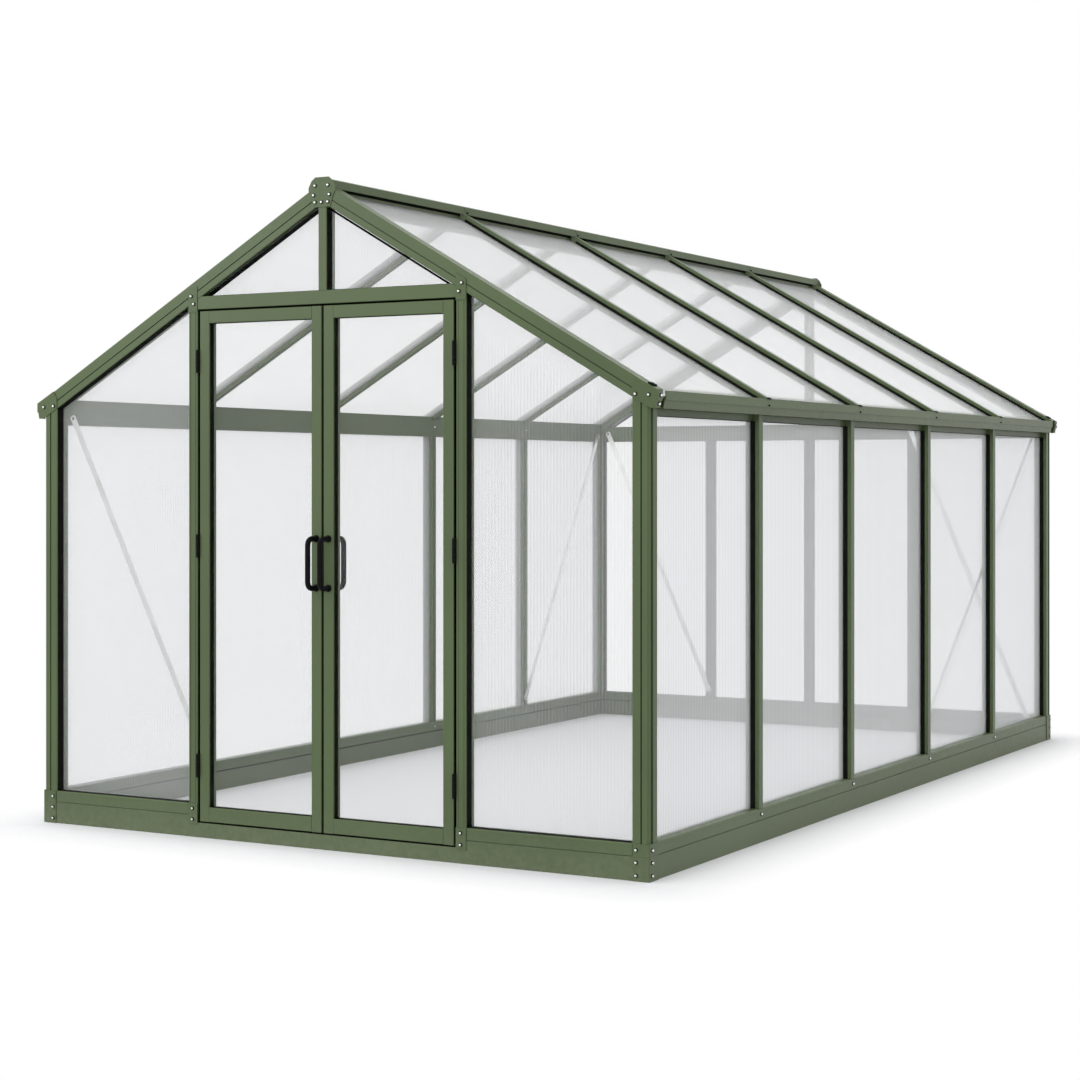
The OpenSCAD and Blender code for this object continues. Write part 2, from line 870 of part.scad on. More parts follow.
module back_wall_posts() {
  color(frame_color)
    on_wall("back")
      for (s = [-1, 0, 1]) {
        translate([s * door_post_x, 0, 0]) upright(door_post_w, sill_top + fit, tie_low - fit, [-1, 1]);
      }
}

// Eaves. The beams are notched round the corner posts and the gutters run past them.
module eave_beam() {
  difference() {
    run_back(y_front, y_back) eave_section();
    at_corners()
      translate([-reach, -corner_post_w - fit, 0])
        cube([reach + fit, corner_post_w + fit + over, apex_z]);
  }
}

module right_eave_gutter() {
  color(frame_color) eave_beam();
}

module left_eave_gutter() {
  color(frame_color) mirror([1, 0, 0]) eave_beam();
}

// Outer face of the gutter from top to foot, at a gap from it, measured from the wall face.
function gutter_face(gap) = [
  [gutter_out + gap, eave_h],
  [gutter_out + gap, band_z - gap],
  [lower_out + gap, band_z - gap],
  [foot_out + gap, gutter_low]
];
function reversed(points) = [for (i = [len(points) - 1 : -1 : 0]) points[i]];

// Plates that carry on the gable face of the rafters and fold round the ends of the gutters.
module eave_corner_plates() {
  outer = gutter_face(fit + plate_t);
  end_x = half_w - corner_post_w;
  half_h = rafter_h / 2;
  top_x = end_x + half_h * sin(roof_pitch);
  color(frame_color)
    at_corners() {
      run_back(fit, fit + plate_t)
        polygon(concat(
          [
            [top_x - half_w, roof_z(top_x, 0)],
            [end_x - half_w, roof_z(end_x, half_h)],
            [end_x - half_w, roof_z(end_x, rafter_h)],
            [roof_x(gutter_low, rafter_h) - half_w, gutter_low]
          ],
          reversed(outer)
        ));
      run_back(-eave_return, fit + plate_t / 2)
        polygon(concat(outer, reversed(gutter_face(fit))));
    }
}

// Roof frame.
module front_gable_rafters() {
  color(frame_color)
    both_sides()
      cut_rafter()
        translate([y_front, 0])
          gable_rafter_section();
}

module back_gable_rafters() {
  color(frame_color)
    both_sides()
      cut_rafter()
        translate([y_back, 0])
          mirror([1, 0])
            gable_rafter_section();
}

module slim_rafters() {
  for (k = [1 : bays - 1]) {
    cut_rafter()
      translate([y_mid + bar_at(k), 0])
        bar_section(roof_bar_w, roof_bar_d, roof_glaze_in, [-1, 1]);
  }
}

module right_rafters() {
  color(frame_color) slim_rafters();
}

module left_rafters() {
  color(frame_color) mirror([1, 0, 0]) slim_rafters();
}

module ridge_beam() {
  color(frame_color) run_back(y_front, y_back) ridge_section();
}

module ridge_cap() {
  color(frame_color) run_back(y_front, y_back) cap_section();
}

module ridge_plate() {
  half = [for (p = ridge_plate_shares) [p[0] * ridge_plate_w / 2, p[1] * ridge_plate_h]];
  count = len(half);
  left_half = [for (i = [count - 1 : -1 : 0]) [-half[i][0], half[i][1]]];
  translate([0, cap_top + ridge_plate_rise - ridge_plate_h])
    polygon(concat(half, left_half));
}

module ridge_plates() {
  color(frame_color) {
    run_back(y_front - fit - plate_t, y_front - fit) ridge_plate();
    run_back(y_back + fit, y_back + fit + plate_t) ridge_plate();
  }
}

// Gable frames.
module door_header() {
  color(frame_color)
    on_wall("front")
      intersection() {
        run(-opening_half + fit, opening_half - fit) beam_section(head_z, header_h);
        under_roof(rafter_h + fit);
      }
}

module head_plates() {
  color(frame_color)
    both_sides()
      on_wall("front")
        intersection() {
          translate([door_post_x - door_post_w / 2, fit, head_z - head_plate_low])
            cube([door_post_w, plate_t, header_h + head_plate_low + rafter_h]);
          under_roof(head_plate_p);
        }
}

module back_tie_beam() {
  color(frame_color)
    on_wall("back")
      intersection() {
        run(-half_w + corner_post_w + fit, half_w - corner_post_w - fit)
          difference() {
            beam_section(tie_low, tie_h);
            translate([-glaze_in - panel_t / 2, tie_low]) rotate(180) groove(panel_t);
          }
        under_roof(rafter_h + fit);
      }
}

module king_posts() {
  color(frame_color) {
    on_wall("front") upright(king_post_w, header_top + fit, ridge_low - fit, [-1, 1]);
    on_wall("back") upright(king_post_w, tie_top + fit, ridge_low - fit, [-1, 1]);
  }
}

// Braces.
module side_braces() {
  high = eave_low + eave_lip_h;
  low = sill_top + brace_rise;
  end = half_l - corner_post_w - brace_in;
  color(strip_color) {
    on_wall("left") {
      brace([-end, high], [bar_at(1), low]);
      brace([end, high], [bar_at(bays - 1), low]);
    }
    on_wall("right") brace([-end, high], [bar_at(2), low]);
  }
}

module back_braces() {
  high = tie_low + tie_h / 2;
  low = sill_top + brace_rise;
  end = half_w - corner_post_w - brace_in;
  color(strip_color)
    on_wall("back") {
      brace([-end, high], [-door_post_x, low]);
      brace([door_post_x, high], [end, sill_top - sill_h / 2]);
    }
}

// Sheets.
module side_sheets() {
  for (k = [0 : bays - 1]) {
    wall_sheet(
      bay_from(k, wall_bar_w, corner_post_w),
      bay_to(k, wall_bar_w, corner_post_w),
      sill_top,
      eave_low
    );
  }
}

module left_wall_panels() {
  color(sheet_color) on_wall("left") side_sheets();
}

module right_wall_panels() {
  color(sheet_color) on_wall("right") side_sheets();
}

module front_wall_panels() {
  inner = door_post_x + door_post_w / 2 - glaze_bite;
  outer = half_w - corner_post_w + glaze_bite;
  low = sill_top - glaze_bite;
  color(sheet_color)
    both_sides()
      on_wall("front")
        gable_sheet([
          [inner, low],
          [outer, low],
          [outer, roof_z(outer, pane_p)],
          [inner, roof_z(inner, pane_p)]
        ]);
}

module front_gable_panels() {
  color(sheet_color) both_sides() on_wall("front") top_sheet(header_top);
}

module back_wall_panels() {
  gap = door_post_w / 2;
  color(sheet_color)
    on_wall("back") {
      wall_sheet(-half_w + corner_post_w, -door_post_x - gap, sill_top, tie_low);
      wall_sheet(-door_post_x + gap, -gap, sill_top, tie_low);
      wall_sheet(gap, door_post_x - gap, sill_top, tie_low);
      wall_sheet(door_post_x + gap, half_w - corner_post_w, sill_top, tie_low);
    }
}

module back_gable_panels() {
  color(sheet_color) both_sides() on_wall("back") top_sheet(tie_top);
}

module slope_sheets() {
  on_slope()
    for (k = [0 : bays - 1]) {
      from = bay_from(k, roof_bar_w, frame_d) - glaze_bite;
      to = bay_to(k, roof_bar_w, frame_d) + glaze_bite;
      translate([sheet_top_s, y_mid + from, -notch_p])
        cube([sheet_low_s - sheet_top_s, to - from, panel_t]);
    }
}

module right_roof_panels() {
  color(sheet_color) slope_sheets();
}

module left_roof_panels() {
  color(sheet_color) mirror([1, 0, 0]) slope_sheets();
}

// Hinge halves on the posts.
module post_hinges() {
  color(black_color) both_sides() at_hinges() fixed_hinge();
}

// Left door.
module left_door_hinges() {
  color(black_color) at_hinges() moving_hinge();
}

module left_door_stiles() {
  color(frame_color) leaf_stiles();
}

module left_door_rails() {
  color(frame_color) leaf_rails();
}

module left_door_panel() {
  color(clear_color) leaf_sheet();
}

module left_door_handles() {
  color(black_color) leaf_handles();
}

// Right door.
module right_door_hinges() {
  color(black_color) mirror([1, 0, 0]) at_hinges() moving_hinge();
}

module right_door_stiles() {
  color(frame_color) mirror([1, 0, 0]) leaf_stiles();
}

module right_door_rails() {
  color(frame_color) mirror([1, 0, 0]) leaf_rails();
}

module right_door_panel() {
  color(clear_color) mirror([1, 0, 0]) leaf_sheet();
}

module right_door_handles() {
  color(black_color) mirror([1, 0, 0]) leaf_handles();
}

front_plinth();
back_plinth();
side_plinths();
front_sills();
back_sill();
side_sills();
base_corner_plates();
foot_plates();
corner_posts();
door_posts();
left_wall_posts();
right_wall_posts();
back_wall_posts();
left_eave_gutter();
right_eave_gutter();
eave_corner_plates();
front_gable_rafters();
back_gable_rafters();
left_rafters();
right_rafters();
ridge_beam();
ridge_cap();
ridge_plates();
door_header();
head_plates();
back_tie_beam();
king_posts();
side_braces();
back_braces();
left_wall_panels();
right_wall_panels();
front_wall_panels();
front_gable_panels();
back_wall_panels();
back_gable_panels();
left_roof_panels();
right_roof_panels();
post_hinges();
left_door_hinges();
left_door_stiles();
left_door_rails();
left_door_panel();
left_door_handles();
right_door_hinges();
right_door_stiles();
right_door_rails();
right_door_panel();
right_door_handles();
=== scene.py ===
# Looks of the walk-in greenhouse: finishes, bolts, seals, pulls and trims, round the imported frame
import json
import math

import bmesh
import bpy
from mathutils import Matrix, Vector


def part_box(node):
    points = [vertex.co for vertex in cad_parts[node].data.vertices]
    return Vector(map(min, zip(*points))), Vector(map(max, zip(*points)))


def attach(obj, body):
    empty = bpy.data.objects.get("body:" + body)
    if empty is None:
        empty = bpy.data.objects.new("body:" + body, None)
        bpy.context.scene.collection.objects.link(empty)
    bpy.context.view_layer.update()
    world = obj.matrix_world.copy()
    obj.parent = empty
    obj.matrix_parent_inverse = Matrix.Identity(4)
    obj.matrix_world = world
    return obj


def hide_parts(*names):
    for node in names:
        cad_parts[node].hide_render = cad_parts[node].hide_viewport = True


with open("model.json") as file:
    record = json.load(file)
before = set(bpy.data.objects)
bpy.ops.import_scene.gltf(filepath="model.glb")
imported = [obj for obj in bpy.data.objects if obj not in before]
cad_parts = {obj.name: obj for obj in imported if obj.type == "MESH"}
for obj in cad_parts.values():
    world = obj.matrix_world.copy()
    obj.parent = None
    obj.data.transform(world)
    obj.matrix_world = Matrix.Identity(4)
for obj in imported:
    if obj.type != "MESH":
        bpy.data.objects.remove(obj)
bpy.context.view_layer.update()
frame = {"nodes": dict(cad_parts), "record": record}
nodes = frame["nodes"]
print("frame loaded:", len(nodes), "nodes")

# Camera, taken as a square picture
view = {
    "place": (4.238, -8.147, 1.2405),
    "turn": (math.radians(90), 0, math.radians(29.393)),
    "lens": 73.17,
    "sensor": 36.0,
    "shiftUp": -0.0567,
}

bpy.ops.object.camera_add(location=view["place"], rotation=view["turn"])
camera = bpy.context.object
camera.data.sensor_width = view["sensor"]
camera.data.lens = view["lens"]
camera.data.shift_y = view["shiftUp"]
bpy.context.scene.camera = camera
bpy.context.scene.view_settings.view_transform = "Standard"
lightPaths = {
    "transparent_max_bounces": 48,  # a sight line can cross many sheets
    "max_bounces": 4,
    "diffuse_bounces": 2,
    "glossy_bounces": 2,
    "transmission_bounces": 3,
}
for setting, count in lightPaths.items():
    setattr(bpy.context.scene.cycles, setting, count)


# Places read from the frame
def solidBoxes(nodeName, turn=None):
    # corners of each separate solid of a node, optionally in a turned frame, sorted by place
    mesh = nodes[nodeName].data
    keys = [tuple(round(c, 5) for c in vertex.co) for vertex in mesh.vertices]
    leader = {key: key for key in keys}

    def head(key):
        while leader[key] != key:
            key = leader[key]
        return key

    for face in mesh.polygons:
        first = head(keys[face.vertices[0]])
        for index in face.vertices[1:]:
            leader[head(keys[index])] = first
    groups = {}
    for key in leader:
        point = Vector(key) if turn is None else turn.inverted() @ Vector(key)
        groups.setdefault(head(key), []).append(point)
    boxes = []
    for points in groups.values():
        low = Vector([min(point[i] for point in points) for i in range(3)])
        high = Vector([max(point[i] for point in points) for i in range(3)])
        boxes.append((low, high))
    return sorted(boxes, key=lambda box: tuple(round(c, 4) for c in box[0]))


roof = {"pitch": math.radians(30), "sheetBite": 0.007, "bays": 5}
slopeTurn = {
    "right": Matrix.Rotation(roof["pitch"], 3, "Y"),
    "left": Matrix.Rotation(-roof["pitch"], 3, "Y"),
}
sideSign = {"left": -1, "right": 1}
postLow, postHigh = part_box("corner_posts")
bayLength = (postHigh.y - postLow.y) / roof["bays"]
barPlaces = [postLow.y + bayLength * k for k in range(1, roof["bays"])]
facing = {
    "front": (math.pi / 2, 0, 0),
    "back": (-math.pi / 2, 0, 0),
    "left": (0, -math.pi / 2, 0),
    "right": (0, math.pi / 2, 0),
}


# Modelling helpers
along = 0.9  # cosine past which an edge or a face normal counts as lying along an axis


def clearSelection():
    active = bpy.context.view_layer.objects.active
    if active is not None and active.mode != "OBJECT":
        bpy.ops.object.mode_set(mode="OBJECT")
    bpy.ops.object.select_all(action="DESELECT")


def makeActive(piece):
    clearSelection()
    piece.select_set(True)
    bpy.context.view_layer.objects.active = piece


def applyPlace(piece):
    makeActive(piece)
    bpy.ops.object.transform_apply(location=True, rotation=True, scale=True)


def startEdit(piece):
    makeActive(piece)
    bpy.ops.object.mode_set(mode="EDIT")
    bpy.ops.mesh.select_mode(type="FACE")
    bpy.ops.mesh.select_all(action="SELECT")


def endEdit():
    bpy.ops.object.mode_set(mode="OBJECT")


def pick(kind, test):
    # select the edges or faces whose middle and direction pass a test
    bpy.ops.mesh.select_mode(type=kind)
    bpy.ops.mesh.select_all(action="DESELECT")
    mesh = bmesh.from_edit_mesh(bpy.context.object.data)
    mesh.normal_update()
    for part in {"EDGE": mesh.edges, "FACE": mesh.faces}[kind]:
        if kind == "EDGE":
            middle = (part.verts[0].co + part.verts[1].co) / 2
            direction = (part.verts[1].co - part.verts[0].co).normalized()
        else:
            middle, direction = part.calc_center_median(), part.normal
        part.select_set(bool(test(middle, direction)))
    mesh.select_flush_mode()
    bmesh.update_edit_mesh(bpy.context.object.data)


def push(step):
    bpy.ops.mesh.extrude_region_move(TRANSFORM_OT_translate={"value": tuple(step)})


def addBox(low, high):
    clearSelection()
    low, high = Vector(low), Vector(high)
    bpy.ops.mesh.primitive_cube_add(size=1, location=(low + high) / 2, scale=high - low)
    box = bpy.context.object
    applyPlace(box)
    return box


def bevelEdges(piece, width, test, segments=1):
    startEdit(piece)
    pick("EDGE", test)
    bpy.ops.mesh.bevel(offset=width, segments=segments, affect="EDGES")
    endEdit()


def addStrip(low, high, axis, width):
    # straight strip along an axis with its long edges taken off by a width
    strip = addBox(low, high)
    bevelEdges(strip, width, lambda middle, direction: abs(direction[axis]) > along)
    return strip


def slopeNormal(side):
    return Vector((side * math.sin(roof["pitch"]), 0, math.cos(roof["pitch"])))


def cutSlope(piece, point, side):
    # keep what lies under the roof plane through a point
    startEdit(piece)
    bpy.ops.mesh.bisect(plane_co=point, plane_no=slopeNormal(side), clear_outer=True, use_fill=True)
    endEdit()


def addRing(low, high, axis, width, slopes=()):
    # flat ring round an opening, its hole along an axis, its top cut by roof planes if any
    ring = addBox(low, high)
    for point, side in slopes:
        cutSlope(ring, point, side)
    startEdit(ring)
    pick("FACE", lambda middle, normal: abs(normal[axis]) > along)
    bpy.ops.mesh.inset(thickness=width)
    bpy.ops.mesh.bridge_edge_loops()
    endEdit()
    return ring


def applyModifiers(piece):
    makeActive(piece)
    for modifier in list(piece.modifiers):
        bpy.ops.object.modifier_apply(modifier=modifier.name)


def copyAt(model, place, turn=(0, 0, 0), size=1):
    twin = model.copy()
    twin.data = model.data.copy()
    twin.location = place
    twin.rotation_euler = turn
    twin.scale = (size, size, size)
    bpy.context.scene.collection.objects.link(twin)
    return twin


def joinPieces(pieces):
    makeActive(pieces[0])
    for piece in pieces:
        piece.select_set(True)
    bpy.ops.object.join()
    return bpy.context.object


def finishPiece(piece, name, body, finish=None, smooth=35):
    applyPlace(piece)
    startEdit(piece)
    bpy.ops.mesh.normals_make_consistent(inside=False)
    endEdit()
    bpy.ops.object.shade_smooth_by_angle(angle=math.radians(smooth))
    piece.name = name
    piece.data.name = name
    if finish is not None:
        piece.data.materials.clear()
        piece.data.materials.append(finish)
    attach(piece, body)
    print("  piece:", name, len(piece.data.polygons), "faces")
    return piece


# Node groups shared by the finishes
def newGroup(name, inputs, outputs):
    group = bpy.data.node_groups.new(name, "ShaderNodeTree")
    for socket, kind, value in inputs:
        made = group.interface.new_socket(name=socket, in_out="INPUT", socket_type=kind)
        made.default_value = value
    for socket, kind in outputs:
        group.interface.new_socket(name=socket, in_out="OUTPUT", socket_type=kind)
    return group, group.nodes.new("NodeGroupInput"), group.nodes.new("NodeGroupOutput")


def addNoise(tree, scale, detail, coords):
    noise = tree.nodes.new("ShaderNodeTexNoise")
    noise.inputs["Scale"].default_value = scale
    noise.inputs["Detail"].default_value = detail
    tree.links.new(coords, noise.inputs["Vector"])
    return noise.outputs["Fac"]


def addRange(tree, value, fromLow, fromHigh, toLow, toHigh):
    node = tree.nodes.new("ShaderNodeMapRange")
    numbers = {"From Min": fromLow, "From Max": fromHigh, "To Min": toLow, "To Max": toHigh}
    for socket, number in numbers.items():
        node.inputs[socket].default_value = number
    tree.links.new(value, node.inputs["Value"])
    return node.outputs["Result"]


def addMath(tree, operation, first, second):
    node = tree.nodes.new("ShaderNodeMath")
    node.operation = operation
    for socket, value in zip(node.inputs, (first, second)):
        if isinstance(value, (int, float)):
            socket.default_value = value
        else:
            tree.links.new(value, socket)
    return node.outputs[0]


def addMix(tree, blend, factor, first, second):
    node = tree.nodes.new("ShaderNodeMix")
    node.data_type = "RGBA"
    node.blend_type = blend
    sockets = (node.inputs[0], node.inputs[6], node.inputs[7])  # factor and the two colours
    for socket, value in zip(sockets, (factor, first, second)):
        if isinstance(value, (int, float, tuple)):
            socket.default_value = value
        else:
            tree.links.new(value, socket)
    return node.outputs[2]


noiseSwing = (0.3, 0.7)  # part of a noise's range that is spread out

# Powder coat: broad tone drift, fine peel and dust that settles near the ground
coat = {
    "driftScale": 1.7,
    "driftSwing": (0.35, 0.65),
    "darkest": (0.9, 0.9, 0.9, 1),
    "lightest": (1.1, 1.1, 1.1, 1),
    "peelScale": 420,
    "speckScale": 60,
    "roughness": (0.3, 0.4),
    "dustTop": 0.14,
    "dustColor": (0.36, 0.36, 0.31, 1),
}


def powderCoatGroup():
    tree, inputs, outputs = newGroup(
        "powderCoat",
        [
            ("Tint", "NodeSocketColor", (0.07, 0.1, 0.04, 1)),
            ("Drift", "NodeSocketFloat", 0.1),
            ("Dust", "NodeSocketFloat", 0.2),
        ],
        [
            ("Color", "NodeSocketColor"),
            ("Roughness", "NodeSocketFloat"),
            ("Height", "NodeSocketFloat"),
        ],
    )
    coords = tree.nodes.new("ShaderNodeTexCoord").outputs["Object"]
    broad = addNoise(tree, coat["driftScale"], 2, coords)
    bumps = addNoise(tree, coat["peelScale"], 1, coords)
    speck = addNoise(tree, coat["speckScale"], 2, coords)
    swing = addRange(tree, broad, *coat["driftSwing"], 0, 1)
    lighter = addMix(tree, "MIX", swing, coat["darkest"], coat["lightest"])
    tone = addMix(tree, "MULTIPLY", inputs.outputs["Drift"], inputs.outputs["Tint"], lighter)
    split = tree.nodes.new("ShaderNodeSeparateXYZ")
    tree.links.new(coords, split.inputs[0])
    low = addRange(tree, split.outputs["Z"], 0.0, coat["dustTop"], 1, 0)
    settled = addMath(tree, "MULTIPLY", low, speck)
    settled = addMath(tree, "MULTIPLY", settled, inputs.outputs["Dust"])
    color = addMix(tree, "MIX", settled, tone, coat["dustColor"])
    rough = addRange(tree, speck, *noiseSwing, *coat["roughness"])
    tree.links.new(color, outputs.inputs["Color"])
    tree.links.new(addMath(tree, "ADD", rough, settled), outputs.inputs["Roughness"])
    tree.links.new(bumps, outputs.inputs["Height"])
    return tree


# Sheet film: the faint clouding of a clear plastic sheet and the lines of its inner flutes
film = {
    "cloudScale": 1.1,
    "clouded": (0.96, 0.96, 0.97, 1),
    "clean": (1, 1, 1, 1),
    "roughness": (0.14, 0.24),
    "flutePitch": 0.012,
    "fluteFrom": 0.2,
    "fluteColor": (0.1, 0.1, 0.1, 1),
}


def sheetFilmGroup():
    tree, inputs, outputs = newGroup(
        "sheetFilm",
        [
            ("Tint", "NodeSocketColor", (0.9, 0.9, 0.92, 1)),
            ("Across", "NodeSocketVector", (0, 1, 0)),
            ("Flute", "NodeSocketFloat", 0.5),
        ],
        [("Color", "NodeSocketColor"), ("Roughness", "NodeSocketFloat")],
    )
    coords = tree.nodes.new("ShaderNodeTexCoord").outputs["Object"]
    cloud = addNoise(tree, film["cloudScale"], 1, coords)
    swing = addRange(tree, cloud, *noiseSwing, 0, 1)
    shade = addMix(tree, "MIX", swing, film["clouded"], film["clean"])
    tone = addMix(tree, "MULTIPLY", 1.0, inputs.outputs["Tint"], shade)
    place = tree.nodes.new("ShaderNodeVectorMath")
    place.operation = "DOT_PRODUCT"
    tree.links.new(coords, place.inputs[0])
    tree.links.new(inputs.outputs["Across"], place.inputs[1])
    turns = addMath(tree, "MULTIPLY", place.outputs["Value"], 2 * math.pi / film["flutePitch"])
    wave = addMath(tree, "SINE", turns, 0.0)
    line = addRange(tree, wave, film["fluteFrom"], 1.0, 0, 1)
    line = addMath(tree, "MULTIPLY", line, inputs.outputs["Flute"])
    color = addMix(tree, "MIX", line, tone, film["fluteColor"])
    rough = addRange(tree, cloud, *noiseSwing, *film["roughness"])
    tree.links.new(color, outputs.inputs["Color"])
    tree.links.new(rough, outputs.inputs["Roughness"])
    return tree


# Fine grain: drawn or cast surface with small scratches
scratch = {
    "fineScale": 300,
    "patchScale": 12,
    "darkest": (0.9, 0.9, 0.9, 1),
    "lightest": (1.06, 1.06, 1.06, 1),
}


def fineGrainGroup():
    tree, inputs, outputs = newGroup(
        "fineGrain",
        [
            ("Tint", "NodeSocketColor", (0.6, 0.6, 0.6, 1)),
            ("Smooth", "NodeSocketFloat", 0.3),
            ("Spread", "NodeSocketFloat", 0.12),
        ],
        [
            ("Color", "NodeSocketColor"),
            ("Roughness", "NodeSocketFloat"),
            ("Height", "NodeSocketFloat"),
        ],
    )
    coords = tree.nodes.new("ShaderNodeTexCoord").outputs["Object"]
    fine = addNoise(tree, scratch["fineScale"], 2, coords)
    patch = addNoise(tree, scratch["patchScale"], 1, coords)
    swing = addRange(tree, patch, *noiseSwing, 0, 1)
    shade = addMix(tree, "MIX", swing, scratch["darkest"], scratch["lightest"])
    color = addMix(tree, "MULTIPLY", 1.0, inputs.outputs["Tint"], shade)
    rough = addMath(tree, "SUBTRACT", fine, 0.5)
    rough = addMath(tree, "MULTIPLY", rough, inputs.outputs["Spread"])
    rough = addMath(tree, "ADD", inputs.outputs["Smooth"], rough)
    tree.links.new(color, outputs.inputs["Color"])
    tree.links.new(rough, outputs.inputs["Roughness"])
    tree.links.new(fine, outputs.inputs["Height"])
    return tree


groups = {
    "powderCoat": powderCoatGroup(),
    "sheetFilm": sheetFilmGroup(),
    "fineGrain": fineGrainGroup(),
}


def newFinish(name, groupName, values, plain, bump=None):
    # one shared group, a bump from its height, and plain values on the shader's own sockets
    finish = bpy.data.materials.new(name)
    finish.use_nodes = True
    tree = finish.node_tree
    shader = tree.nodes["Principled BSDF"]
    effect = tree.nodes.new("ShaderNodeGroup")
    effect.node_tree = groups[groupName]
    for socket, value in values.items():
        effect.inputs[socket].default_value = value
    tree.links.new(effect.outputs["Color"], shader.inputs["Base Color"])
    tree.links.new(effect.outputs["Roughness"], shader.inputs["Roughness"])
    if bump is not None:
        relief = tree.nodes.new("ShaderNodeBump")
        relief.inputs["Strength"].default_value = bump["strength"]
        relief.inputs["Distance"].default_value = bump["distance"]
        tree.links.new(effect.outputs["Height"], relief.inputs["Height"])
        tree.links.new(relief.outputs["Normal"], shader.inputs["Normal"])
    for socket, value in plain.items():
        shader.inputs[socket].default_value = value
    return finish


peel = {"strength": 0.12, "distance": 0.0004}
grain = {"strength": 0.2, "distance": 0.0003}
tint = {
    "green": (0.073, 0.104, 0.0445, 1),
    "plate": (0.068, 0.097, 0.04, 1),
    "brace": (0.86, 0.87, 0.86, 1),
    "black": (0.005, 0.005, 0.006, 1),
    "rubber": (0.006, 0.007, 0.005, 1),
    "zinc": (0.85, 0.85, 0.82, 1),
    "edgeStrip": (0.55, 0.57, 0.55, 1),
    "sheet": (0.945, 0.96, 0.985, 1),
    # roof sheets: the same sheet in a whiter tint, painted light where the light from above falls
    # on the roof
    "roof": (0.97, 0.98, 0.99, 1),
}
matte = {"IOR": 1.5, "Specular IOR Level": 0.05}
satin = {"IOR": 1.5, "Specular IOR Level": 0.06}
paint = {"IOR": 1.5, "Specular IOR Level": 0.28}
metal = {"Metallic": 1.0}
plastic = {"IOR": 1.5}


def paintFinish(name, color, drift, dust):
    values = {"Tint": tint[color], "Drift": drift, "Dust": dust}
    return newFinish(name, "powderCoat", values, paint, peel)


def grainFinish(name, color, smooth, plain):
    return newFinish(name, "fineGrain", {"Tint": tint[color], "Smooth": smooth}, plain, grain)


framePaint = paintFinish("framePaint", "green", drift=0.7, dust=0.25)
doorPaint = paintFinish("doorPaint", "green", drift=0.5, dust=0.15)
platePaint = paintFinish("platePaint", "plate", drift=0.7, dust=0.25)
bracePlain = grainFinish("braceStrip", "brace", smooth=0.38, plain=metal)
blackSatin = grainFinish("blackSatin", "black", smooth=0.38, plain=satin)
# black rubber finish; on the gaskets, seals, ridge strips and washers its black is also painted
# shade
blackRubber = grainFinish("blackRubber", "rubber", smooth=0.7, plain=matte)
boltZinc = grainFinish("boltZinc", "zinc", smooth=0.22, plain=metal)
edgePlastic = grainFinish("edgePlastic", "edgeStrip", smooth=0.4, plain=plastic)

# Sheets: how strong the flutes are, how white the sheet is straight on and at a slant,
# and how much of that white is light from behind
alongX, alongY = (1, 0, 0), (0, 1, 0)
gableLook = {"across": alongX, "flute": 0.9, "veil": 0.055, "slantVeil": 0.44, "through": 0.3}
sideLook = {"across": alongY, "flute": 0.5, "veil": 0.06, "slantVeil": 0.5, "through": 0.45}
roofLook = {"across": alongY, "flute": 0.4, "veil": 0.06, "slantVeil": 0.46, "through": 0.45}
doorLook = {"across": alongX, "flute": 0.0, "veil": 0.012, "slantVeil": 0.13, "through": 0.45}


def sheetFinish(name, color, look):
    values = {"Tint": tint[color], "Across": look["across"], "Flute": look["flute"]}
    finish = newFinish(name, "sheetFilm", values, plastic)
    tree = finish.node_tree
    slant = tree.nodes.new("ShaderNodeLayerWeight")
    slant.inputs["Blend"].default_value = 0.5
    slanted = addMath(tree, "MULTIPLY", slant.outputs["Facing"], look["slantVeil"])
    share = addMath(tree, "ADD", slanted, look["veil"])
    glow = tree.nodes.new("ShaderNodeBsdfTranslucent")
    glow.inputs["Color"].default_value = tint[color]
    milk = tree.nodes.new("ShaderNodeMixShader")
    milk.inputs["Fac"].default_value = look["through"]
    tree.links.new(tree.nodes["Principled BSDF"].outputs[0], milk.inputs[1])
    tree.links.new(glow.outputs[0], milk.inputs[2])
    clear = tree.nodes.new("ShaderNodeBsdfTransparent")
    mixed = tree.nodes.new("ShaderNodeMixShader")
    tree.links.new(share, mixed.inputs["Fac"])
    tree.links.new(clear.outputs[0], mixed.inputs[1])
    tree.links.new(milk.outputs[0], mixed.inputs[2])
    tree.links.new(mixed.outputs[0], tree.nodes["Material Output"].inputs["Surface"])
    return finish


gableSheet = sheetFinish("gableSheet", "sheet", gableLook)
sideSheet = sheetFinish("sideSheet", "sheet", sideLook)
# roof sheets whiter than the wall sheets: painted light from above
roofSheetPaintedLight = sheetFinish("roofSheetPaintedLight", "roof", roofLook)
doorSheet = sheetFinish("doorSheet", "sheet", doorLook)

slotFinish = {
    "frame_paint": framePaint,
    "door_paint": doorPaint,
    "plate_paint": platePaint,
    "brace_strip": bracePlain,
    "black_metal": blackSatin,
    "twin_wall_sheet": gableSheet,
    "clear_sheet": doorSheet,
}
nodeFinish = {
    "left_wall_panels": sideSheet,
    "right_wall_panels": sideSheet,
    "left_roof_panels": roofSheetPaintedLight,
    "right_roof_panels": roofSheetPaintedLight,
}
slotOfNode = {row["node"]: row["material_slot"] for row in frame["record"]["subparts"]}
for nodeName, node in nodes.items():
    finish = nodeFinish.get(nodeName, slotFinish[slotOfNode[nodeName]])
    node.data.materials.clear()
    node.data.materials.append(finish)
print("finishes set")


# Bolts: a black rubber washer under a domed head with a small socket; the washer's black ring is
# also painted shadow beside the head
bolt = {
    "sides": 12,
    "washerAndShadow": 0.0064,
    "washerAndShadowHeight": 0.0014,
    "head": 0.0042,
    "headHeight": 0.0042,
    "crown": 0.0028,
    "rise": 0.0012,
    "socket": 0.0014,
}


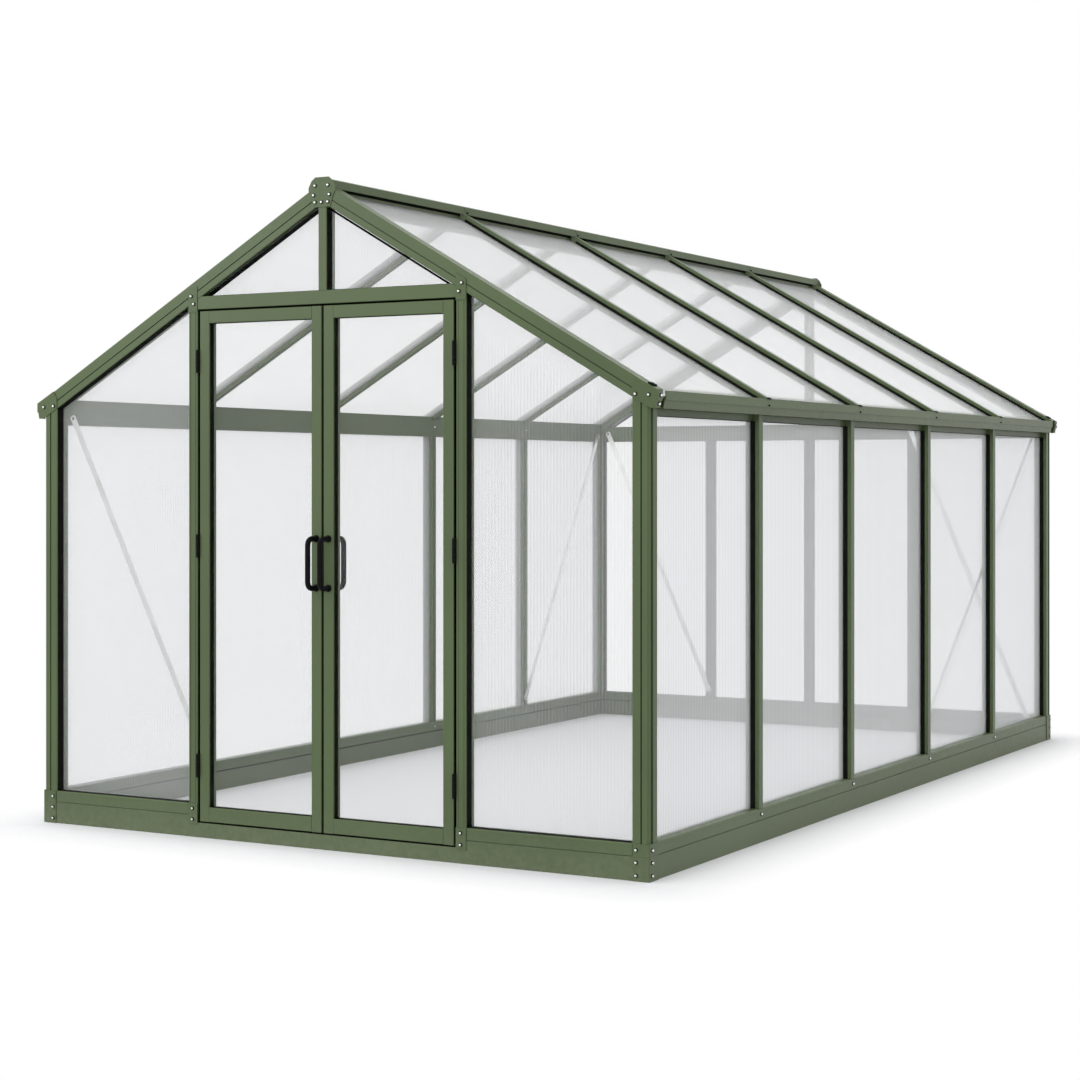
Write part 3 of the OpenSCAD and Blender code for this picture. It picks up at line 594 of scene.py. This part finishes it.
def modelBolt(headFinish):
    clearSelection()
    thick = bolt["washerAndShadowHeight"]
    bpy.ops.mesh.primitive_cylinder_add(
        vertices=bolt["sides"], radius=bolt["washerAndShadow"], depth=thick, location=(0, 0, thick / 2)
    )
    model = bpy.context.object
    applyPlace(model)
    startEdit(model)
    pick("FACE", lambda middle, normal: normal.z > along)
    bpy.ops.mesh.inset(thickness=bolt["washerAndShadow"] - bolt["head"])
    push((0, 0, bolt["headHeight"]))
    bpy.ops.mesh.inset(thickness=bolt["head"] - bolt["crown"], depth=bolt["rise"])
    bpy.ops.mesh.inset(thickness=bolt["crown"] - bolt["socket"])
    push((0, 0, -bolt["rise"]))
    model.data.materials.append(headFinish)
    # black rubber washer ring, also painted shadow beside the head
    model.data.materials.append(blackRubber)
    pick("FACE", lambda middle, normal: middle.z < thick + bolt["rise"] / 2)
    model.active_material_index = 1
    bpy.ops.object.material_slot_assign()
    endEdit()
    return model


def boltGroup(name, places, model, size=1):
    # a place comes with the side it faces or with a turn of its own
    copies = [copyAt(model, place, facing.get(turn, turn), size) for place, turn in places]
    return finishPiece(joinPieces(copies), name, "frame", smooth=50)


boltModel = modelBolt(boltZinc)
boltPlaces = {
    "ridge": [
        (-0.026, 0.022), (0.026, 0.022), (-0.032, -0.01), (0.032, -0.01),
        (-0.026, -0.034), (0.0, -0.034), (0.026, -0.034),
    ],
    "eaveHeight": 1.513,
    "eaveGable": [(-0.045, -0.011), (0.001, -0.014)],
    "eaveSide": [(0.016, -0.016, 0.0, 0.0), (0.016, -0.042, 0.0065, math.atan2(0.005, 0.026))],
    "baseGable": 0.046,
    "baseSide": 0.017,
    "baseHeights": (0.018, 0.058, 0.0965),
    "footHeights": (0.061, 0.099),
    "head": [(0.005, 0.046), (-0.006, 0.019)],
    "sillHeight": 0.097,
    "beamHeight": 0.044,
    "braceInset": 0.012,
}

ridgeBolts = []
for (low, high), wall in zip(solidBoxes("ridge_plates"), ("front", "back")):
    middle = (low + high) / 2
    faceY = low.y if wall == "front" else high.y
    ridgeBolts += [(Vector((x, faceY, middle.z + z)), wall) for x, z in boltPlaces["ridge"]]
boltGroup("ridgePlateBolts", ridgeBolts, boltModel)

eaveBolts = []
for low, high in solidBoxes("eave_corner_plates"):
    side = 1 if high.x > 0 else -1
    wall, faceY, inY = ("front", low.y, 1) if low.y < 0 else ("back", high.y, -1)
    sideX = high.x if side > 0 else -low.x
    for x, z in boltPlaces["eaveGable"]:
        place = Vector((side * (postHigh.x + x), faceY, boltPlaces["eaveHeight"] + z))
        eaveBolts.append((place, wall))
    for y, z, inX, lean in boltPlaces["eaveSide"]:
        place = Vector((side * (sideX - inX), faceY + inY * y, boltPlaces["eaveHeight"] + z))
        eaveBolts.append((place, (0, side * (math.pi / 2 + lean), 0)))
boltGroup("eavePlateBolts", eaveBolts, boltModel)

baseBolts = []
plateLow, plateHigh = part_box("base_corner_plates")
gableX = plateHigh.x - boltPlaces["baseGable"]
for sideName, side in sideSign.items():
    for wall, faceY, inY in (("front", plateLow.y, 1), ("back", plateHigh.y, -1)):
        sideY = faceY + inY * boltPlaces["baseSide"]
        for z in boltPlaces["baseHeights"]:
            baseBolts.append((Vector((side * gableX, faceY, z)), wall))
            baseBolts.append((Vector((side * plateHigh.x, sideY, z)), sideName))
boltGroup("baseCornerBolts", baseBolts, boltModel)

doorBolts = []
for low, high in solidBoxes("foot_plates"):
    middle = (low + high) / 2
    doorBolts += [(Vector((middle.x, low.y, z)), "front") for z in boltPlaces["footHeights"]]
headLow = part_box("door_header")[0].z
for low, high in solidBoxes("head_plates"):
    middle = (low + high) / 2
    side = 1 if high.x > 0 else -1
    for x, z in boltPlaces["head"]:
        doorBolts.append((Vector((middle.x + side * x, low.y, headLow + z)), "front"))
boltGroup("doorPostBolts", doorBolts, boltModel)

sillBolts = []
beamBolts = []
innerSillBolts = []
sillInnerX = solidBoxes("side_sills")[1][0].x
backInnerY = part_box("back_sill")[0].y
beamInnerX = abs(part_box("left_eave_gutter")[1].x)
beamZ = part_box("left_eave_gutter")[0].z + boltPlaces["beamHeight"]
sillZ = boltPlaces["sillHeight"]
for side, outer, inner in ((-1, "left", "right"), (1, "right", "left")):
    for y in barPlaces:
        sillBolts.append((Vector((side * postHigh.x, y, sillZ)), outer))
        beamBolts.append((Vector((side * beamInnerX, y, beamZ)), inner))
        innerSillBolts.append((Vector((side * sillInnerX, y, sillZ)), inner))
for low, high in solidBoxes("back_wall_posts"):
    middle = (low + high) / 2
    innerSillBolts.append((Vector((middle.x, backInnerY, sillZ)), "front"))
boltGroup("sillBolts", sillBolts, boltModel)
boltGroup("innerSillBolts", innerSillBolts, boltModel)
boltGroup("eaveBeamBolts", beamBolts, boltModel)

braceBolts = []
inset = boltPlaces["braceInset"]
for (low, high), wall, frontIsHigh in zip(
    solidBoxes("side_braces"), ("right", "right", "left"), (True, False, False)
):
    faceX = high.x if wall == "right" else low.x
    ends = ((low.y, high.z), (high.y, low.z)) if frontIsHigh else ((high.y, high.z), (low.y, low.z))
    for y, z in ends:
        y += inset if y == low.y else -inset
        z += inset if z == low.z else -inset
        braceBolts.append((Vector((faceX, y, z)), wall))
for low, high in solidBoxes("back_braces"):
    for x, z in ((low.x + inset, high.z - inset), (high.x - inset, low.z + inset)):
        braceBolts.append((Vector((x, low.y, z)), "front"))
boltGroup("braceBolts", braceBolts, boltModel)
bpy.data.objects.remove(boltModel)
print("bolts placed")

# Black rubber gaskets that line the reveals, from the sheet nearly out to the face of the bars;
# their black is also painted shade, standing for the shadow in the reveals
gasketAndShade = {
    "thick": 0.0012,
    "gableBack": 0.004,
    "sideBack": 0.014,
    "doorBack": 0.006,
    "roofBack": 0.012,
    "tuck": 0.003,
    "lap": 0.03,
}


def openingBox(low, high, axis):
    # clear opening round a sheet, less the part of the sheet that the grooves hold
    bite = Vector([0 if i == axis else roof["sheetBite"] for i in range(3)])
    return low + bite, high - bite


def wallGasketsAndShade(
    name, nodeName, axis, faceAt, sloped=False, body="frame", back="gableBack", tucked=False
):
    rings = []
    for low, high in solidBoxes(nodeName):
        start, end = openingBox(low, high, axis)
        if faceAt > high[axis]:
            start[axis], end[axis] = high[axis], faceAt - gasketAndShade[back]
        else:
            start[axis], end[axis] = faceAt + gasketAndShade[back], low[axis]
        if tucked:
            start.z -= gasketAndShade["tuck"]
        slopes = []
        if sloped:
            side = 1 if high.x > 0 else -1
            corner = Vector((low.x if side > 0 else high.x, 0, high.z))
            slopes.append((corner - slopeNormal(side) * roof["sheetBite"], side))
        rings.append(addRing(start, end, axis, gasketAndShade["thick"], slopes))
    finishPiece(joinPieces(rings), name, body, blackRubber)


leafLow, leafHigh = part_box("left_door_stiles")
wallGasketsAndShade("leftWallGasketsAndShade", "left_wall_panels", 0, postLow.x, back="sideBack", tucked=True)
wallGasketsAndShade("rightWallGasketsAndShade", "right_wall_panels", 0, postHigh.x, back="sideBack", tucked=True)
wallGasketsAndShade("backWallGasketsAndShade", "back_wall_panels", 1, postHigh.y)
wallGasketsAndShade("frontWallGasketsAndShade", "front_wall_panels", 1, postLow.y, True)
wallGasketsAndShade("frontGableGasketsAndShade", "front_gable_panels", 1, postLow.y, True)
wallGasketsAndShade("backGableGasketsAndShade", "back_gable_panels", 1, postHigh.y, True)
wallGasketsAndShade("leftDoorGasketAndShade", "left_door_panel", 1, leafLow.y, body="left_door", back="doorBack")
wallGasketsAndShade("rightDoorGasketAndShade", "right_door_panel", 1, leafLow.y, body="right_door", back="doorBack")


# black rubber strips on the rafters' flanks; their black is also painted shade on the flanks
def roofGasketsAndShade(name, nodeName, barName, side):
    turn = slopeTurn[side]
    topZ = max(high.z for low, high in solidBoxes(barName, turn)) - gasketAndShade["roofBack"]
    strips = []
    for low, high in solidBoxes(nodeName, turn):
        for edgeY, inY in ((low.y + roof["sheetBite"], 1), (high.y - roof["sheetBite"], -1)):
            ends = sorted((edgeY, edgeY + inY * gasketAndShade["thick"]))
            start = Vector((low.x + gasketAndShade["lap"], ends[0], high.z))
            end = Vector((high.x - gasketAndShade["lap"], ends[1], topZ))
            strips.append(addStrip(start, end, 0, gasketAndShade["thick"] / 4))
    piece = joinPieces(strips)
    piece.rotation_euler = turn.to_euler()
    finishPiece(piece, name, "frame", blackRubber)


roofGasketsAndShade("leftRoofGasketsAndShade", "left_roof_panels", "left_rafters", "left")
roofGasketsAndShade("rightRoofGasketsAndShade", "right_roof_panels", "right_rafters", "right")
print("gaskets made")

# Inner joints: a dark strip where each sill stands on its plinth
joint = {"height": 0.004, "proud": 0.0012}


def addJoint(axis, face, inward, start, end):
    # strip on an inner face that looks along one level axis, from start to end on the other
    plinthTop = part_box("side_plinths")[1].z
    low = [start, start, plinthTop - joint["height"] / 2]
    high = [end, end, plinthTop + joint["height"] / 2]
    low[axis], high[axis] = sorted((face, face + inward * joint["proud"]))
    return addStrip(low, high, 1 - axis, joint["proud"] / 4)


joints = []
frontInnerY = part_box("front_sills")[1].y
for side, (low, high) in zip(sideSign.values(), solidBoxes("side_sills")):
    joints.append(addJoint(0, side * sillInnerX, -side, low.y, high.y))
for low, high in solidBoxes("back_sill"):
    joints.append(addJoint(1, backInnerY, -1, low.x, high.x))
for low, high in solidBoxes("front_sills"):
    joints.append(addJoint(1, frontInnerY, 1, low.x, high.x))
finishPiece(joinPieces(joints), "innerBaseJoints", "frame", blackRubber)
print("inner joints made")

# Door seals: black rubber lining and stop round the doorway, strips on the leaves' edges; their
# black is also painted shade in the gaps round the leaves
sealAndShade = {
    "lining": 0.0015,
    "stop": 0.017,
    "gap": 0.001,
    "under": 0.006,
    "strip": 0.0055,
    "edge": 0.0015,
    "inset": 0.004,
}

doorPosts = solidBoxes("door_posts")
frameBack = doorPosts[0][1].y
doorLow = Vector((doorPosts[0][1].x, postLow.y, leafLow.z - sealAndShade["under"]))
doorHigh = Vector((doorPosts[1][0].x, frameBack, headLow))
liningEnd = leafHigh.y + sealAndShade["gap"]
liningStart = doorLow.y + gasketAndShade["gableBack"]
stopEnd = frameBack - sealAndShade["gap"]
# the lining and stop are black rubber that also paints the shade in the gap round the leaves
lining = addRing(
    (doorLow.x, liningStart, doorLow.z), (doorHigh.x, liningEnd, doorHigh.z), 1, sealAndShade["lining"]
)
stop = addRing(
    (doorLow.x, liningEnd, doorLow.z), (doorHigh.x, stopEnd, doorHigh.z), 1, sealAndShade["stop"]
)
finishPiece(joinPieces([lining, stop]), "doorwaySealAndShade", "frame", blackRubber)

for sideName, side in sideSign.items():
    low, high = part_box(sideName + "_door_stiles")
    inset = Vector((0, 1, 1)) * sealAndShade["inset"]
    start, end = low + inset, high - inset
    hingeX = low.x if side < 0 else high.x
    start.x, end.x = sorted((hingeX, hingeX + side * sealAndShade["edge"]))
    # black edge strips on the leaves, also painted shade in the hinge and meeting gaps
    strips = [addStrip(start, end, 2, sealAndShade["edge"] / 4)]
    if side < 0:
        start.x, end.x = high.x, high.x + sealAndShade["strip"]
        strips.append(addStrip(start, end, 2, sealAndShade["edge"]))
    body = sideName + "_door"
    finishPiece(joinPieces(strips), sideName + "DoorSealsAndShade", body, blackRubber)
print("door seals made")

# Door pulls: a bent rod on two small roses, outside and inside of each leaf
pull = {
    "sides": 16,
    "rod": 0.0092,
    "rose": 0.0125,
    "roseHeight": 0.003,
    "spacing": 0.165,
    "bend": 0.022,
    "steps": 7,
    "merge": 0.0002,
}


def modelPull(reach):
    # half of the pull from its rose to the middle of the grip, then mirrored
    clearSelection()
    half = pull["spacing"] / 2
    straight = reach - pull["rod"] - pull["bend"]
    bpy.ops.mesh.primitive_circle_add(
        vertices=pull["sides"],
        radius=pull["rose"],
        fill_type="NGON",
        location=(0, 0, -half),
        rotation=(math.pi / 2, 0, 0),
    )
    model = bpy.context.object
    applyPlace(model)
    startEdit(model)
    push((0, -pull["roseHeight"], 0))
    bpy.ops.mesh.inset(thickness=pull["rose"] - pull["rod"])
    push((0, pull["roseHeight"] - straight, 0))
    bpy.ops.mesh.spin(
        steps=pull["steps"],
        angle=math.pi / 2,
        center=(0, -straight, pull["bend"] - half),
        axis=(1, 0, 0),
    )
    push((0, 0, half - pull["bend"]))
    bpy.ops.mesh.delete(type="FACE")
    endEdit()
    other = model.modifiers.new("other half", "MIRROR")
    other.use_axis = (False, False, True)
    other.merge_threshold = pull["merge"]
    applyModifiers(model)
    return model


for sideName in sideSign:
    low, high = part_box(sideName + "_door_handles")
    place = (low + high) / 2
    pullModel = modelPull(leafLow.y - low.y)
    outer = copyAt(pullModel, (place.x, leafLow.y, place.z))
    inner = copyAt(pullModel, (place.x, leafHigh.y, place.z), (0, 0, math.pi))
    bpy.data.objects.remove(pullModel)
    both = joinPieces([outer, inner])
    body = sideName + "_door"
    pulls = finishPiece(both, sideName + "DoorPulls", body, blackSatin)
    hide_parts(sideName + "_door_handles")
print("door pulls made")

# Roof trims: edge strips, rafter stops, black strips of painted shade under the ridge cap, and the
# seams and screws of ridge and gutter
trim = {
    "edgeLeg": 0.011,
    "edgeWall": 0.0015,
    "slimStop": {"start": 0.012, "end": 0.002, "half": 0.011, "height": 0.003},
    "gableStop": {"start": 0.054, "end": 0.034, "half": 0.017, "height": 0.0045},
    "stopRound": 0.4,
    "capSide": 0.026,
    "ridgeThick": 0.0016,
    "ridgeLow": 0.0067,
    "ridgeHigh": 0.0027,
    "seamWidth": 0.0012,
    "seamProud": 0.0005,
    "seamLean": math.radians(45),
    "screwSize": 0.62,
    "screwDrop": 0.023,
}


def roofTrims(side):
    turn = slopeTurn[side]
    sign = sideSign[side]
    edges = []
    for low, high in solidBoxes(side + "_roof_panels", turn):
        eaveX = high.x if sign > 0 else low.x
        ends = sorted((eaveX - sign * trim["edgeLeg"], eaveX + sign * trim["edgeWall"]))
        start = Vector((ends[0], low.y + roof["sheetBite"], low.z - trim["edgeWall"]))
        end = Vector((ends[1], high.y - roof["sheetBite"], high.z + trim["edgeWall"]))
        edge = addStrip(start, end, 1, trim["edgeWall"] / 2)
        startEdit(edge)
        pick("FACE", lambda middle, normal: normal.x * sign < -along)
        bpy.ops.mesh.inset(thickness=trim["edgeWall"] / 2)
        push((sign * trim["edgeLeg"], 0, 0))
        endEdit()
        edges.append(edge)
    stops = []
    bars = solidBoxes(side + "_rafters", turn)
    topZ = max(high.z for low, high in bars)
    eaveX = max(high.x for low, high in bars) if sign > 0 else min(low.x for low, high in bars)
    rows = [(y, trim["slimStop"]) for y in barPlaces]
    for nodeName in ("front_gable_rafters", "back_gable_rafters"):
        low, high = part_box(nodeName)
        rows.append(((low.y + high.y) / 2, trim["gableStop"]))
    for y, size in rows:
        ends = sorted((eaveX - sign * size["start"], eaveX - sign * size["end"]))
        start = (ends[0], y - size["half"], topZ)
        end = (ends[1], y + size["half"], topZ + size["height"])
        block = addBox(start, end)
        halfway = topZ + size["height"] / 2
        width = size["height"] * trim["stopRound"]
        bevelEdges(block, width, lambda middle, direction: middle.z > halfway, 2)
        stops.append(block)
    for pieces, name, finish, slot in (
        (edges, "RoofEdgeStrips", edgePlastic, "twin_wall_sheet"),
        (stops, "RafterStops", blackRubber, "black_metal"),
    ):
        piece = joinPieces(pieces)
        piece.rotation_euler = turn.to_euler()
        finishPiece(piece, side + name, "frame", finish)


roofTrims("left")
roofTrims("right")

capLow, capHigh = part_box("ridge_cap")
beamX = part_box("ridge_beam")[1].x
seamHalf = trim["capSide"] / 2 / math.cos(trim["seamLean"])
# black strips on the ridge beam's sides just under the cap: painted shade where the cap shadows the
# beam
ridgeShadeStrips = []
seams = []
for side in sideSign.values():
    for low, high in solidBoxes("right_roof_panels"):
        ends = sorted((side * beamX, side * (beamX + trim["ridgeThick"])))
        start = Vector((ends[0], low.y + roof["sheetBite"], capLow.z - trim["ridgeLow"]))
        end = Vector((ends[1], high.y - roof["sheetBite"], capLow.z + trim["ridgeHigh"]))
        ridgeShadeStrips.append(addStrip(start, end, 1, trim["ridgeThick"] / 4))
    for y in barPlaces:
        wide = trim["seamWidth"]
        ends = sorted((side * (capHigh.x - wide), side * (capHigh.x + trim["seamProud"])))
        start = (ends[0], -wide / 2, -seamHalf)
        end = (ends[1], wide / 2, seamHalf)
        seam = addStrip(start, end, 2, wide / 5)
        seam.rotation_euler = (trim["seamLean"], 0, 0)
        seam.location = (0, y, capLow.z + trim["capSide"] / 2)
        applyPlace(seam)
        seams.append(seam)
finishPiece(joinPieces(ridgeShadeStrips), "ridgePaintedShadeStrips", "frame", blackRubber)
finishPiece(joinPieces(seams), "ridgeCapSeams", "frame", blackRubber)

screwModel = modelBolt(blackSatin)
screws = []
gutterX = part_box("right_eave_gutter")[1].x
gutterZ = boltPlaces["eaveHeight"] - trim["screwDrop"]
capZ = capLow.z + trim["ridgeLow"]
for sideName, side in sideSign.items():
    for y in barPlaces:
        screws.append((Vector((side * capHigh.x, y + trim["capSide"] / 2, capZ)), sideName))
        screws.append((Vector((side * gutterX, y, gutterZ)), sideName))
boltGroup("roofScrews", screws, screwModel, trim["screwSize"])
bpy.data.objects.remove(screwModel)
print("roof trims made")

# Stage: a pale floor that turns to plain white away from the object, and soft light
stage = {
    "floorSize": 60,
    "floorDrop": 0.0005,
    "seenColor": (0.625, 0.63, 0.64, 1),
    "bounceColor": (0.5, 0.5, 0.5, 1),
    "shadeFrom": 0.0,
    "shadeTo": 0.3,
}
light = {
    "sky": 0.94,
    "key": 1.15,
    "keyFrom": (-0.38, -0.33, 0.86),
    "keySpread": 1.6,
    "lampAt": (-4.2, -6.0, 3.6),
    "lampAim": (0, -1.5, 1.0),
    "lampSize": 2.5,
    "lampPower": 85,
}


def whiteRays(tree):
    rays = tree.nodes.new("ShaderNodeLightPath")
    seen = addMath(tree, "MAXIMUM", rays.outputs["Is Camera Ray"], rays.outputs["Is Glossy Ray"])
    return addMath(tree, "MAXIMUM", seen, rays.outputs["Is Transmission Ray"])


def buildStage():
    clearSelection()
    bpy.ops.mesh.primitive_plane_add(size=stage["floorSize"], location=(0, 0, -stage["floorDrop"]))
    floor = bpy.context.object
    floor.name = "floor"
    finish = bpy.data.materials.new("paleFloor")
    finish.use_nodes = True
    tree = finish.node_tree
    tree.nodes.clear()
    coords = tree.nodes.new("ShaderNodeTexCoord").outputs["Object"]
    split = tree.nodes.new("ShaderNodeSeparateXYZ")
    tree.links.new(coords, split.inputs[0])
    squares = []
    for axis, half in (("X", postHigh.x), ("Y", postHigh.y)):
        span = addMath(tree, "ABSOLUTE", split.outputs[axis], 0.0)
        past = addMath(tree, "MAXIMUM", addMath(tree, "SUBTRACT", span, half), 0.0)
        squares.append(addMath(tree, "POWER", past, 2.0))
    reach = addMath(tree, "SQRT", addMath(tree, "ADD", *squares), 0.0)  # from the footprint
    away = addRange(tree, reach, stage["shadeFrom"], stage["shadeTo"], 0, 1)
    seen = whiteRays(tree)
    matteFloor = tree.nodes.new("ShaderNodeBsdfDiffuse")
    color = addMix(tree, "MIX", seen, stage["bounceColor"], stage["seenColor"])
    tree.links.new(color, matteFloor.inputs["Color"])
    glow = tree.nodes.new("ShaderNodeEmission")
    mixed = tree.nodes.new("ShaderNodeMixShader")
    tree.links.new(addMath(tree, "MULTIPLY", away, seen), mixed.inputs["Fac"])
    tree.links.new(matteFloor.outputs[0], mixed.inputs[1])
    tree.links.new(glow.outputs[0], mixed.inputs[2])
    output = tree.nodes.new("ShaderNodeOutputMaterial")
    tree.links.new(mixed.outputs[0], output.inputs["Surface"])
    floor.data.materials.append(finish)


def buildLight():
    world = bpy.data.worlds.new("studio")
    bpy.context.scene.world = world
    world.use_nodes = True
    world.cycles.sampling_method = "NONE"  # the sky is smooth, so plain bounces find it
    tree = world.node_tree
    tree.nodes.clear()
    toward = tree.nodes.new("ShaderNodeVectorMath")
    toward.operation = "DOT_PRODUCT"
    toward.inputs[1].default_value = Vector(light["keyFrom"]).normalized()
    tree.links.new(tree.nodes.new("ShaderNodeTexCoord").outputs["Generated"], toward.inputs[0])
    near = addMath(tree, "MAXIMUM", toward.outputs["Value"], 0.0)
    near = addMath(tree, "POWER", near, light["keySpread"])
    sky = tree.nodes.new("ShaderNodeBackground")
    sky.inputs["Color"].default_value = (1, 1, 1, 1)
    level = addMath(tree, "ADD", addMath(tree, "MULTIPLY", near, light["key"]), light["sky"])
    tree.links.new(level, sky.inputs["Strength"])
    backdrop = tree.nodes.new("ShaderNodeBackground")
    backdrop.inputs["Color"].default_value = (1, 1, 1, 1)
    mixed = tree.nodes.new("ShaderNodeMixShader")
    tree.links.new(whiteRays(tree), mixed.inputs["Fac"])
    tree.links.new(sky.outputs[0], mixed.inputs[1])
    tree.links.new(backdrop.outputs[0], mixed.inputs[2])
    output = tree.nodes.new("ShaderNodeOutputWorld")
    tree.links.new(mixed.outputs[0], output.inputs["Surface"])


# One soft lamp at the left, so that the front is a little darker to the right
def buildLamp():
    clearSelection()
    bpy.ops.object.light_add(type="AREA", location=light["lampAt"])
    lamp = bpy.context.object
    lamp.name = "leftLamp"
    lamp.data.size = light["lampSize"]
    lamp.data.energy = light["lampPower"]
    lamp.data.use_shadow = False
    aim = Vector(light["lampAim"]) - lamp.location
    lamp.rotation_euler = aim.to_track_quat("-Z", "Y").to_euler()


buildStage()
buildLight()
buildLamp()
print("stage set")
